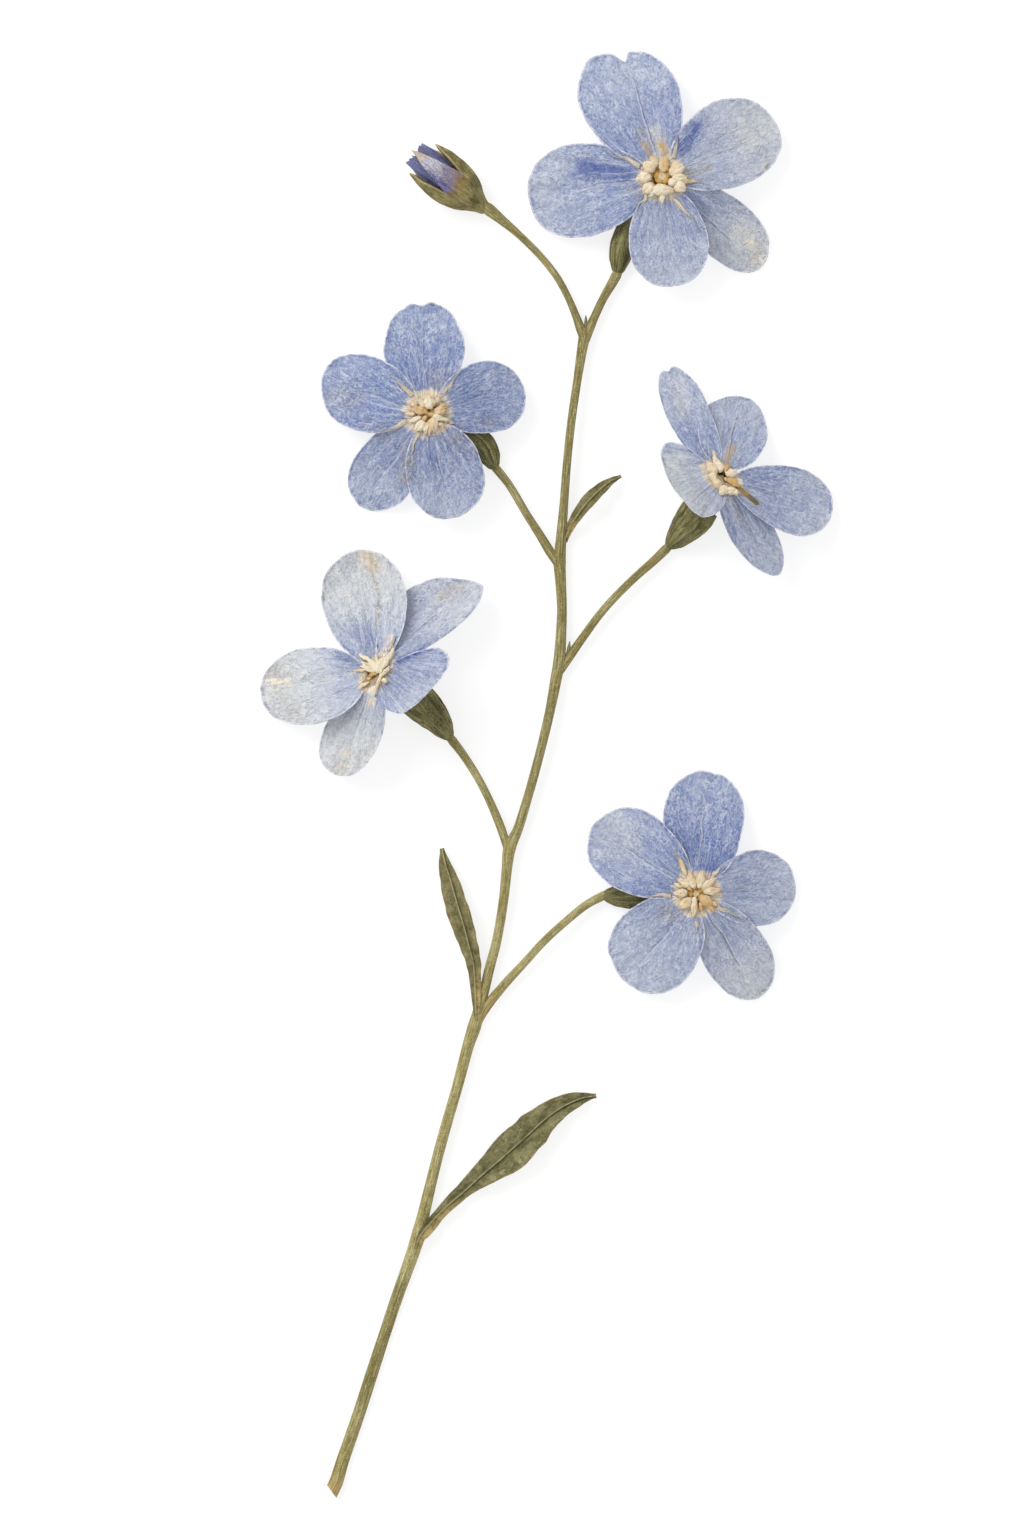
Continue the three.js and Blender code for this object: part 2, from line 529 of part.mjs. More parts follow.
const BUD_FOOT = new THREE.Vector3(-2.85, 27.17, 0.8);
const BUD_TIP = new THREE.Vector3(-6.58, 30.09, 1.3);
const BUD_PETAL_START = 0.24; // how far up the bud its petals begin
const BUD_SEPALS = {
  radii: [[0, 0.25], [0.09, 0.4], [0.15, 0.58], [0.25, 0.88], [0.45, 1.15], [0.65, 1.14], [0.8, 1.0], [1, 0.6]],
  mouth: 0.43, tips: 0.81, front: 0.15, floor: 0.16, wall: 0.28, rib: 0.06, turn: 0.314,
  outerRings: 6, innerRings: 4,
};
const BUD_PETALS = {
  radii: [[0, 0.2], [0.15, 0.5], [0.4, 0.68], [0.7, 0.7], [0.92, 0.58]],
  mouth: 0.76, tips: 0.91, front: 0, floor: 0.66, wall: 0.35, rib: 0.08, turn: 0.942,
  outerRings: 6, innerRings: 2,
};

function budAxis(start) {
  const side = new THREE.Vector3().crossVectors(UP, BUD_TIP.clone().sub(BUD_FOOT)).normalize();
  const tangent = BUD_TIP.clone().sub(BUD_FOOT).normalize();
  const up = new THREE.Vector3().crossVectors(tangent, side);
  return (share) => {
    const centre = BUD_FOOT.clone().lerp(BUD_TIP, lerp(start, 1, share));
    return { centre, tangent, side, up };
  };
}

// Leaves

// Leaf knots are [x, y, width to the left of the midrib, width to its right, height of its middle].
const LEAVES = {
  leaf_lower: { stem: [5, 12], knots: [
    [-5.75, -21.75, 0.22, 0.3, 0.36], [-4.9, -20.85, 0.28, 0.28, 0.5], [-3.8, -19.87, 0.47, 0.33, 0.6],
    [-2.95, -19.1, 0.56, 0.6, 0.7], [-1.9, -18.2, 0.86, 0.98, 0.8], [-0.85, -17.25, 0.9, 0.9, 0.85],
    [0.1, -16.4, 0.74, 0.62, 0.8], [1.0, -15.82, 0.53, 0.42, 0.6], [1.8, -15.5, 0.27, 0.28, 0.45],
    [2.42, -15.4, 0.07, 0.07, 0.4]] },
  leaf_middle: { stem: [12, 19], knots: [
    [-3.4, -10.7, 0.2, 0.24, 0.4], [-3.42, -9.9, 0.25, 0.3, 0.55], [-3.5, -9.0, 0.34, 0.38, 0.7],
    [-3.75, -8.0, 0.46, 0.46, 0.85], [-4.02, -7.0, 0.6, 0.5, 0.95], [-4.32, -6.0, 0.6, 0.48, 0.9],
    [-4.6, -5.0, 0.5, 0.4, 0.7], [-4.85, -4.2, 0.32, 0.25, 0.5], [-5.0, -3.5, 0.06, 0.06, 0.4]] },
  leaf_upper: { stem: [29, 36], knots: [
    [0.9, 11.25, 0.12, 0.12, 0.45], [1.12, 11.85, 0.2, 0.2, 0.6], [1.5, 12.5, 0.27, 0.27, 0.8],
    [2.0, 13.15, 0.36, 0.34, 0.95], [2.6, 13.75, 0.3, 0.3, 0.9], [3.15, 14.17, 0.16, 0.18, 0.65],
    [3.62, 14.4, 0.05, 0.05, 0.4]] },
};
const LEAF_FOLD = 0.22; // how far the two halves of a leaf stand up from its midrib, as a slope
const LEAF_WAVE = 0.1;

function makeLeaf({ knots, stem }) {
  const path = knots.map(([x, y]) => [x, y, 0, 0]);
  const places = stations(path, 2);
  const grid = places.map((station, row) => {
    const span = Math.min(Math.floor(row / 2), knots.length - 2);
    const mix = row / 2 - span;
    const [, , left, right, height] = knots[span].map((value, i) => lerp(value, knots[span + 1][i], mix));
    return [-1, -0.5, 0, 0.5, 1].map((share) => {
      const across = share * (share > 0 ? left : right);
      const wave = LEAF_WAVE * share * share * Math.sin(1.9 * row + (share > 0 ? 0 : 2));
      const { x, y } = station.centre.clone().addScaledVector(station.side, across);
      return [x, y, Math.max(height + LEAF_FOLD * Math.abs(across) + wave, BLADE / 2)];
    }).reverse();
  });
  const pieces = solid(sheet(grid, BLADE)).subtract(stemClearance(...stem)).decompose();
  return welded(pieces.reduce((most, next) => (next.volume() > most.volume() ? next : most)));
}

// Assembly

const COLOURS = {
  stem: { color: 0x8a8350, roughness: 0.85, metalness: 0 },
  leaf: { color: 0x6f7350, roughness: 0.88, metalness: 0 },
  calyx: { color: 0x66673f, roughness: 0.88, metalness: 0 },
  petal: { color: 0xa3b0d2, roughness: 0.8, metalness: 0 },
  budPetal: { color: 0x625f9c, roughness: 0.8, metalness: 0 },
  scale: { color: 0xece0bd, roughness: 0.75, metalness: 0 },
  anther: { color: 0xc89a37, roughness: 0.8, metalness: 0 },
  pistil: { color: 0xb9b3a4, roughness: 0.8, metalness: 0 },
};

const sprig = new THREE.Group();
sprig.position.copy(CENTRING);

function addPiece(name, geometry, colour) {
  const mesh = new THREE.Mesh(geometry, new THREE.MeshStandardMaterial(COLOURS[colour]));
  mesh.name = name;
  sprig.add(mesh);
}

addPiece('stem', makeStem(), 'stem');
for (const [name, leaf] of Object.entries(LEAVES)) addPiece(name, makeLeaf(leaf), 'leaf');
BLOOMS.forEach((bloom, i) => {
  const number = i + 1;
  addPiece(`calyx_${number}`, toothedCup(bloom.axis, bloom.calyx), 'calyx');
  addPiece(`corolla_${number}`, makeCorolla(bloom), 'petal');
  addPiece(`eye_${number}`, makeEye(bloom), 'scale');
  addPiece(`anthers_${number}`, makeAnthers(bloom), 'anther');
  addPiece(`pistil_${number}`, makePistil(bloom), 'pistil');
});
addPiece('bud_calyx', toothedCup(budAxis(0), BUD_SEPALS), 'calyx');
addPiece('bud_corolla', toothedCup(budAxis(BUD_PETAL_START), BUD_PETALS), 'budPetal');

export default sprig;
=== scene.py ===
"""The looks of a dried forget-me-not sprig that lies on a pale floor, seen from straight above.

Lengths in the tables are millimetres; meshes are made in metres.
"""
import json
import math

import bpy
import numpy as np
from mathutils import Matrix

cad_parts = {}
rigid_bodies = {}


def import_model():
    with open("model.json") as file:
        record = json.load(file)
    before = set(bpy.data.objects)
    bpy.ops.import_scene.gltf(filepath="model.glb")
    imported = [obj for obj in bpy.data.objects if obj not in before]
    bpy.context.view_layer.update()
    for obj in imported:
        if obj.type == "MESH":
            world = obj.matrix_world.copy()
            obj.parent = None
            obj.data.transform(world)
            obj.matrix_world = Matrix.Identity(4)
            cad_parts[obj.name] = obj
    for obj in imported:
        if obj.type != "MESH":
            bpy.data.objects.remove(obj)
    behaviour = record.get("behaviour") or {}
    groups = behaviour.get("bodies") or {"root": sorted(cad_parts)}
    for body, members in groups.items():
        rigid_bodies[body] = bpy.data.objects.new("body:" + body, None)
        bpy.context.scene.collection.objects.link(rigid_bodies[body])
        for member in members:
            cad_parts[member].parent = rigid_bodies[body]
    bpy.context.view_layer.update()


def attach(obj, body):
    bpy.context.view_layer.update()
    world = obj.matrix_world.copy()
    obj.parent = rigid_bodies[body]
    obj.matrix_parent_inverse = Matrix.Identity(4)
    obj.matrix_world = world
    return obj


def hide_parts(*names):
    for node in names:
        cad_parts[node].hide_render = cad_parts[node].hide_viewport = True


bl_info = {
    "name": "Dried Forget-me-not Sprig",
    "version": (1, 0, 0),
    "blender": (4, 5, 0),
    "location": "3D View > Sidebar > Sprig",
    "description": "Dresses a dried forget-me-not sprig with stem, leaves, blooms and bud",
    "category": "Add Mesh",
}

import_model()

MM = 0.001
CENTRING = np.array([-0.012, -0.062, 0.0])
UP = np.array([0.0, 0.0, 1.0])
LOBES = 5
SOLID_BLADE = 0.6  # thickness of the frame's petals and leaves
LOWEST = 0.01  # height of a sheet's underside where it lies on the floor
LAYER = 0.014  # how much higher each next petal of a bloom lies
REST = 0.6  # height of a stem's middle over its lift, as a share of its radius
CUT_SLANT = 0.55  # how far the stem's cut end slants, as a share of its width
OFF_RIB = 9.0  # way off the midrib for skin that has none
HEART = 0.53  # how far out the middle lies from which a petal's points spread, as a share of its length
SHOULDER_AT, SHOULDER_SPAN = 0.47, 0.32  # where a petal's rim has its shoulder, as angles about that middle
PETAL_BOW, PETAL_WAVE, PETAL_WAVES = 0.1, 0.12, 5  # rise of a petal's middle, height and number of its waves
FAN_FROM = 1.2  # how far behind the bloom's middle the lines of the petals meet
RIM_SWELL, RIM_WAVE, RIB_GROOVE = 0.05, 0.04, 0.025  # heights on a petal's rim, and depth beside its midrib
EYE_EDGE, EYE_END = 0.95, 1.5  # where the cream round the throat starts to fade, and where it ends
SLIVER_REACH, SLIVER_LIFT = 0.16, 0.03  # how near petals hold a rolled margin up, and how far it is over them
ANTHER_RING, ANTHER_SIZE = 0.29, (0.23, 0.15, 0.18)  # radius of the ring, and half sizes of an anther
RIBLET, FLECK = 0.018, 0.02  # height of the fine ribs and of the bumps on the cups
LEAF_FOLD, LEAF_LIFT, LEAF_WAVE = 0.22, 0.2, 0.1  # rises of a leaf from its midrib out, all over and in waves
BUD_PETAL_START = 0.24  # where the bud's petals start, as a share of its length
FLOOR_TONE, FLOOR_GLOW, ROOM_GLOW = 0.3, 0.74, 0.8
WINDOW_PLACE, WINDOW_SIZE, WINDOW_POWER = (-0.32, 0.3, 0.42), 0.35, 1.9  # metres, metres and watts
VIEW_MIDDLE = (-1.644, 0.298, 1.5)  # millimetres


# Numbers

def lerp(a, b, t):
    return a + (b - a) * t


def smooth(value, low, high):
    t = np.clip((value - low) / (high - low), 0.0, 1.0)
    return t * t * (3.0 - 2.0 * t)


def bell(value, width):
    return np.exp(-((value / width) ** 2))


def unit(vector):
    return vector / np.maximum(np.linalg.norm(vector, axis=-1, keepdims=True), 1e-12)


def around_circle(count):
    return np.linspace(0, 2 * math.pi, count, endpoint=False)


def columns(count, *values):
    """A row for each of count points, from numbers and from values for every point."""
    return np.stack([np.broadcast_to(np.ravel(value), count) for value in values], axis=-1)


def linear(red, green, blue):
    """A colour given as 0 to 255 on a screen, as the light values that a shader takes."""
    shares = [c / 255.0 for c in (red, green, blue)]
    return tuple(s / 12.92 if s <= 0.04045 else ((s + 0.055) / 1.055) ** 2.4 for s in shares)


def blend(first, second, share):
    return [lerp(a, b, share) for a, b in zip(first, second)]


def scatter(ix, iy, seed):
    """Repeatable random values from 0 to 1 on whole-number points."""
    n = (ix * 374761393 + iy * 668265263 + seed * 974711) & 0x7FFFFFFF
    n = ((n ^ (n >> 13)) * 1274126177) & 0x7FFFFFFF
    return ((n ^ (n >> 16)) & 0xFFFF) / 65535.0


def noise(x, y, seed=0):
    """A smooth random height from -1 to 1 over a plane."""
    ix, iy = np.floor(x).astype(np.int64), np.floor(y).astype(np.int64)
    sx, sy = smooth(x - ix, 0, 1), smooth(y - iy, 0, 1)
    low = lerp(scatter(ix, iy, seed), scatter(ix + 1, iy, seed), sx)
    high = lerp(scatter(ix, iy + 1, seed), scatter(ix + 1, iy + 1, seed), sx)
    return 2.0 * lerp(low, high, sy) - 1.0


def rough(x, y, seed, octaves):
    return sum(0.5 ** k * noise(x * 2 ** k, y * 2 ** k, seed + 31 * k) for k in range(octaves))


def crests(x, y, seed, power):
    """Thin raised folds over a plane."""
    return (1 - np.abs(noise(x, y, seed))) ** power


class Course:
    """A smooth path through points, walked by its share of the knots or of its length."""

    def __init__(self, points, samples=480):
        self.points = np.array(points, float)
        self.shares = np.linspace(0.0, 1.0, samples + 1)
        steps = np.linalg.norm(np.diff(self.by_knots(self.shares), axis=0), axis=1)
        self.walked = np.concatenate([[0.0], np.cumsum(steps)])

    def by_knots(self, shares):
        p = self.points
        padded = np.vstack([2 * p[0] - p[1], p, 2 * p[-1] - p[-2]])
        spot = np.clip(shares, 0, 1) * (len(p) - 1)
        start = np.minimum(np.floor(spot).astype(int), len(p) - 2)
        w = (spot - start)[:, None]
        p0, p1, p2, p3 = (padded[start + k] for k in range(4))
        d0, d1, d2 = (np.linalg.norm(b - a, axis=1)[:, None] ** 0.5 for a, b in ((p0, p1), (p1, p2), (p2, p3)))
        t1 = ((p1 - p0) / d0 - (p2 - p0) / (d0 + d1) + (p2 - p1) / d1) * d1
        t2 = ((p2 - p1) / d1 - (p3 - p1) / (d1 + d2) + (p3 - p2) / d2) * d1
        c2 = -3 * p1 + 3 * p2 - 2 * t1 - t2
        c3 = 2 * p1 - 2 * p2 + t1 + t2
        return p1 + t1 * w + c2 * w ** 2 + c3 * w ** 3

    def knots_at(self, lengths):
        """Shares of the knots at shares of the length."""
        return np.interp(lengths * self.walked[-1], self.walked, self.shares)

    def by_length(self, shares):
        return self.by_knots(np.atleast_1d(self.knots_at(np.clip(shares, 0, 1))))

    def heading(self, shares, reach=1e-3):
        shares = np.atleast_1d(shares)
        return unit(self.by_length(np.minimum(shares + reach, 1)) - self.by_length(np.maximum(shares - reach, 0)))


# Meshes

def points_of(mesh):
    place = np.empty(len(mesh.vertices) * 3, np.float32)
    mesh.vertices.foreach_get("co", place)
    return place.reshape(-1, 3)


def move_points(mesh, points):
    mesh.vertices.foreach_set("co", points.astype(np.float32).ravel())
    mesh.update()


def put_marks(mesh, marks):
    """Stores marks on a mesh, with one or three values for each point."""
    for key, values in marks.items():
        kind, slot = ("FLOAT_VECTOR", "vector") if np.ndim(values) == 2 else ("FLOAT", "value")
        mesh.attributes.new(key, kind, "POINT").data.foreach_set(slot, np.asarray(values, np.float32).ravel())


def mark_of(mesh, name):
    values = np.empty(len(mesh.vertices), np.float32)
    mesh.attributes[name].data.foreach_get("value", values)
    return values


def keep_above(mesh):
    """Lifts a mesh's points to the surface that the sprig lies on, where they are under it."""
    points = points_of(mesh)
    points[:, 2] = np.maximum(points[:, 2], 0.0)
    move_points(mesh, points)


def finish_piece(name, mesh, slot, *nodes):
    piece = bpy.data.objects.new(name, mesh)
    bpy.context.scene.collection.objects.link(piece)
    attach(piece, "root")
    if nodes:
        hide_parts(*nodes)


def make_piece(name, part, skin, slot, node, unwrapped=False):
    """A piece from points in millimetres about the sprig's own origin, its faces and its marks."""
    points, faces, marks = part
    mesh = bpy.data.meshes.new(name)
    mesh.from_pydata(((points + CENTRING) * MM).tolist(), [], [list(map(int, face)) for face in faces])
    mesh.materials.append(skin)
    mesh.shade_smooth()
    if unwrapped:
        corners = np.empty(len(mesh.loops), np.int32)
        mesh.loops.foreach_get("vertex_index", corners)
        uv = marks["flow"][corners, :2] * 0.2
        mesh.uv_layers.new(name="UVMap").data.foreach_set("uv", uv.astype(np.float32).ravel())
    put_marks(mesh, marks)
    mesh.validate()
    finish_piece(name, mesh, slot, node)


def grid_faces(rows, columns, closed=False):
    """Four-cornered faces over a grid of points, which a closed grid carries round from its last column."""
    r, c = np.meshgrid(np.arange(rows - 1), np.arange(columns if closed else columns - 1), indexing="ij")
    r, c = r.ravel(), c.ravel()
    after = (c + 1) % columns
    return np.stack([r * columns + c, r * columns + after, (r + 1) * columns + after, (r + 1) * columns + c], axis=1)


def sheet_part(x, y, z, thickness, marks):
    """A closed sheet about its middle surface, over the surface that the sprig lies on."""
    under = np.maximum(z - thickness / 2, LOWEST)
    top = np.maximum(z + thickness / 2, under + thickness)
    upper = grid_faces(*x.shape)
    order = np.arange(x.size).reshape(x.shape)
    rim = np.concatenate([order[0, :-1], order[:-1, -1], order[-1, :0:-1], order[:0:-1, 0]])
    after = np.roll(rim, -1)
    sides = np.stack([x.size + rim, x.size + after, after, rim], axis=1)
    points = np.vstack([columns(x.size, x, y, top), columns(x.size, x, y, under)])
    faces = np.vstack([upper, upper[:, ::-1] + x.size, sides])
    return points, faces, {key: np.concatenate([values, values]) for key, values in marks.items()}


def turned_loft(rings):
    """Points and faces through rings of equally many points, with a fan over each end."""
    rings = np.asarray(rings)
    count, last = rings.shape[1], (len(rings) - 1) * rings.shape[1]
    total = last + count
    faces = [tuple(face) for face in grid_faces(len(rings), count, closed=True)]
    faces += [(total, (j + 1) % count, j) for j in range(count)]
    faces += [(total + 1, last + j, last + (j + 1) % count) for j in range(count)]
    return np.vstack([rings.reshape(-1, 3), rings[0].mean(axis=0), rings[-1].mean(axis=0)]), faces


def turned_profile(profile, sides):
    """Points and faces of a body of revolution about the Z axis, from [radius, height] pairs."""
    angles = around_circle(sides)
    radius, height = (np.repeat(values, sides).reshape(-1, sides) for values in zip(*profile))
    points = columns(radius.size, radius * np.cos(angles), radius * np.sin(angles), height)
    return points, grid_faces(len(profile), sides, closed=True)


def joined(parts):
    """Several (points, faces, marks) parts as one; every part has the same marks."""
    points, faces, marks, start = [], [], {}, 0
    for part_points, part_faces, part_marks in parts:
        points.append(part_points)
        faces += [tuple(int(corner) + start for corner in face) for face in part_faces]
        for key, values in part_marks.items():
            marks.setdefault(key, []).append(values)
        start += len(part_points)
    return np.vstack(points), faces, {key: np.concatenate(values) for key, values in marks.items()}


# Nodes

class Nodes:
    """A node tree under construction."""

    def add(self, kind, inputs=None, **settings):
        """Adds a node, sets what it is, links or sets its inputs, and gives its outputs."""
        node = self.tree.nodes.new(kind)
        for key, value in settings.items():
            setattr(node, key, value)
        self.fill(node, inputs or {})
        return node.outputs

    def fill(self, node, inputs):
        for key, value in inputs.items():
            if isinstance(value, bpy.types.NodeSocket):
                self.tree.links.new(value, node.inputs[key])
            else:
                node.inputs[key].default_value = value

    def math(self, operation, *values, clamp=False):
        return self.add("ShaderNodeMath", dict(enumerate(values)), operation=operation, use_clamp=clamp)[0]

    def times(self, first, *others):
        for other in others:
            first = self.math("MULTIPLY", first, other)
        return first

    def vector(self, *values):
        return self.add("ShaderNodeCombineXYZ", dict(enumerate(values)))[0]

    def parts(self, vector):
        return tuple(self.add("ShaderNodeSeparateXYZ", {0: vector}))


class Finish(Nodes):
    """A material under construction, on coordinates in millimetres, whose base colour takes coat after coat."""

    def __init__(self, name):
        self.material = bpy.data.materials.new(name)
        self.material.use_nodes = True
        self.tree = self.material.node_tree
        self.tree.nodes.clear()
        self.shader = self.tree.nodes.new("ShaderNodeBsdfPrincipled")
        self.add("ShaderNodeOutputMaterial", {0: self.shader.outputs[0]})
        place = self.add("ShaderNodeTexCoord")["Object"]
        self.place = self.add("ShaderNodeMapping", {"Vector": place, "Scale": (1 / MM,) * 3})[0]

    def value(self, name):
        return self.add("ShaderNodeAttribute", attribute_name=name)["Fac"]

    def values(self, name):
        return self.parts(self.add("ShaderNodeAttribute", attribute_name=name)["Vector"])

    def flow(self, across, along, apart=1.0, shift=0.0):
        """The flow mark as coordinates for a grain, denser across and along by what is given."""
        inputs = {0: self.add("ShaderNodeAttribute", attribute_name="flow")["Vector"], 1: (across, along, apart),
                  2: (0.0, 0.0, shift)}
        return self.add("ShaderNodeVectorMath", inputs, operation="MULTIPLY_ADD")[0]

    def grain(self, scale, detail=4.0, roughness=0.55, distortion=0.0, where=None):
        return self.add("ShaderNodeTexNoise", {
            "Vector": where or self.place, "Scale": scale, "Detail": detail, "Roughness": roughness,
            "Distortion": distortion})[0]

    def step(self, value, low, high, start=0.0, end=1.0):
        inputs = {"Value": value, "From Min": low, "From Max": high, "To Min": start, "To Max": end}
        return self.add("ShaderNodeMapRange", inputs, interpolation_type="SMOOTHSTEP")[0]

    def thread(self, field, middle, wide, narrow=0.0):
        """1 where a field is within narrow of its middle value, falling to 0 where it is wide of it."""
        return self.step(self.math("ABSOLUTE", self.math("SUBTRACT", field, middle)), wide, narrow)

    def stirred(self, level, grain, strength, clamp=False):
        return self.math("MULTIPLY_ADD", self.math("SUBTRACT", grain, 0.5), strength, level, clamp=clamp)

    def weighed(self, *pairs):
        """The sum of fields, each times its weight."""
        total = 0.0
        for field, weight in pairs:
            total = self.math("MULTIPLY_ADD", field, weight, total)
        return total

    def mix(self, share, first, second):
        first, second = (tint if isinstance(tint, bpy.types.NodeSocket) else (*tint, 1.0)
                         for tint in (first, second))
        return self.add("ShaderNodeMix", {0: share, 6: first, 7: second}, data_type="RGBA")[2]

    def coat(self, tint, *shares):
        self.base = self.mix(self.times(*shares), self.base, tint)

    def finish(self, height, depth, roughness, sheen=0.0, subsurface=0.0):
        """depth is how high the bump stands, in millimetres, where height is 1."""
        bump = self.add("ShaderNodeBump", {"Height": height, "Distance": depth * MM, "Strength": 1.0})[0]
        self.fill(self.shader, {
            "Base Color": self.base, "Roughness": roughness, "Normal": bump, "Specular IOR Level": 0.25,
            "Sheen Weight": sheen, "Subsurface Weight": subsurface, "Subsurface Scale": 0.2 * MM})
        return self.material


def petal_finish(name, pale, blue, deep, airy=1.0):
    """Dry petal skin. Its marks: deep, faded and stained; edge: share out to the rim, way off the
    midrib and creaminess; flow: angle and distance from the petal's foot, and its number."""
    f = Finish(name)
    deepened, faded, stained = f.values("marks")
    rim, off_rib, cream = f.values("edge")
    away, rib = f.values("flow")[1], f.value("rib")
    # light is the painted highlight colour and shade the painted shade colour; airy sets how pale the highlight is.
    # Both also tint the veins and the specks.
    light = f.mix(faded, blend(pale, linear(213, 218, 228), airy), linear(228, 226, 219))
    shade = f.mix(faded, linear(96, 111, 156), linear(140, 142, 150))
    shade = f.mix(deepened, shade, linear(56, 72, 136))
    f.base = f.mix(f.stirred(f.value("tone"), f.grain(0.5, 5.0, 0.65), 1.3, clamp=True), pale, blue)
    cloud = f.grain(1.9, 6.0, 0.72)
    f.coat(deep, deepened, f.step(cloud, 0.34, 0.56, 0.55, 1.0))
    f.coat(linear(204, 205, 202), faded, f.step(cloud, 0.64, 0.4, 0.55, 1.0))
    f.coat(linear(146, 132, 92), stained, f.step(f.grain(4.5, 4.0, 0.7), 0.36, 0.58))

    # curled wrinkles, longer along the petal than across it, with painted highlights on their raised crests and
    # painted shade in their sunk hollows
    def creases(scale, shift, width):
        return f.thread(f.grain(scale, 2.0, 0.6, 0.9, f.flow(5.4, 0.6, 7.3, shift)), 0.5, width)

    crest, fine_crest = creases(2.9, 0.0, 0.07), creases(5.6, 20.0, 0.08)
    dip, fine_dip = creases(2.7, 40.0, 0.08), creases(5.2, 60.0, 0.08)
    patchy = f.step(f.grain(1.1, 3.0), 0.36, 0.6, 0.45, 1.0)
    calm = f.step(deepened, 0.55, 0.95, 1.0, 0.4)  # the deepest blue shows less of the light crests
    # painted shade in the wrinkles' hollows
    f.coat(shade, dip, patchy, 0.42)
    f.coat(shade, fine_dip, patchy, 0.36)
    # painted highlights on the wrinkles' crests
    f.coat(light, crest, patchy, 0.5, calm)
    f.coat(light, fine_crest, calm, 0.34)

    # veins that fan out from the petal's foot, stronger near it
    near = f.step(away, 4.6, 2.2)
    rays = f.grain(1.0, 4.0, 0.65, 0.3, f.flow(17.0, 0.4))
    f.coat(light, f.step(rays, 0.54, 0.68), f.math("MULTIPLY_ADD", near, 0.35, 0.22))
    f.coat(shade, f.step(rays, 0.48, 0.34), f.math("MULTIPLY_ADD", near, 0.3, 0.2))
    speck = f.grain(9.0, 3.0, 0.75)
    f.coat(shade, f.step(speck, 0.56, 0.72, 0.0, 0.3))
    f.coat(light, f.step(speck, 0.44, 0.3, 0.0, 0.3))

    # midrib: a thin broken dark line of painted shade in its groove, with a painted highlight on its raised side
    side = f.stirred(off_rib, f.grain(1.6, 3.0), 0.2)
    broken = f.step(f.grain(2.2, 2.0), 0.38, 0.55, 0.15, 1.0)
    shown = f.times(f.math("ADD", broken, f.step(rib, 0.6, 0.9, 0.0, 0.6), clamp=True), rib)
    line = f.times(f.thread(side, 0.0, 0.042, 0.015), shown)
    f.coat(linear(104, 98, 106), line, 0.8)
    f.coat(light, f.thread(side, 0.07, 0.05, 0.012), rib, 0.6)

    # rim: broken dark dashes of painted shade inside a thin white line of painted highlight along the swollen edge
    f.coat(shade, f.step(rim, 0.89, 0.96), f.step(f.grain(2.3, 4.0, 0.7), 0.5, 0.62), 0.72)
    f.coat(linear(220, 221, 230), f.step(rim, 0.96, 0.985), f.step(f.grain(4.0, 2.0), 0.4, 0.6, 0.35, 0.95))

    # cream that runs out from the throat in streaks, then the strongest stains and the gold
    streak = f.stirred(f.stirred(cream, rays, 0.9), cloud, 1.8)
    creamy = f.mix(f.step(rays, 0.4, 0.6), linear(222, 203, 174), linear(243, 232, 214))
    f.coat(creamy, f.step(streak, 0.3, 0.85), f.step(cream, 0.0, 0.3))
    f.coat(linear(98, 84, 42), f.step(stained, 0.85, 1.2, 0.0, 0.85))
    f.coat(linear(196, 158, 84), f.value("gold"), f.step(f.grain(5.0, 3.0), 0.3, 0.5, 0.5, 1.0))
    height = f.weighed((crest, 0.45), (fine_crest, 0.225), (dip, -0.45), (speck, 0.6), (rays, 0.6), (line, -1.0))
    return f.finish(height, 0.03, 0.75, sheen=0.05)


def fibre_finish(name, light, middle, dark, warm=None):
    """Dry green tissue with long fibres. Its flow mark: way round, way along in mm, and a number."""
    f = Finish(name)
    f.base = f.mix(f.step(f.grain(0.8, 4.0, 0.6), 0.36, 0.64), middle, blend(middle, light, 0.45))
    f.coat(blend(middle, dark, 0.5), f.value("green"))
    broad, narrow = f.grain(1.0, 4.0, 0.65, 0.5, f.flow(2.6, 0.4)), f.grain(1.0, 3.0, 0.65, 0.4, f.flow(5.72, 0.9))
    fleck, fine = f.grain(1.0, 3.0, 0.65, 0.6, f.flow(6.76, 4.5)), f.grain(13.0, 3.0, 0.7)
    for tint, field, low, high, share in (
            (dark, broad, 0.5, 0.35, 0.6), (light, broad, 0.53, 0.68, 0.7), (dark, narrow, 0.48, 0.33, 0.75),
            (light, narrow, 0.54, 0.68, 0.8), (dark, fleck, 0.46, 0.3, 0.75), (dark, fine, 0.46, 0.34, 0.7),
            (light, fine, 0.56, 0.68, 0.4)):
        f.coat(tint, f.step(field, low, high, 0.0, share))
    if warm:
        f.coat(warm, f.step(f.grain(1.9, 4.0, 0.65), 0.53, 0.66, 0.0, 0.4))
    f.coat(f.mix(f.step(narrow, 0.42, 0.56), linear(142, 114, 62), linear(188, 164, 112)), f.value("tan"))
    return f.finish(f.weighed((broad, 1.0), (narrow, 0.8)), 0.05, 0.8, sheen=0.05)


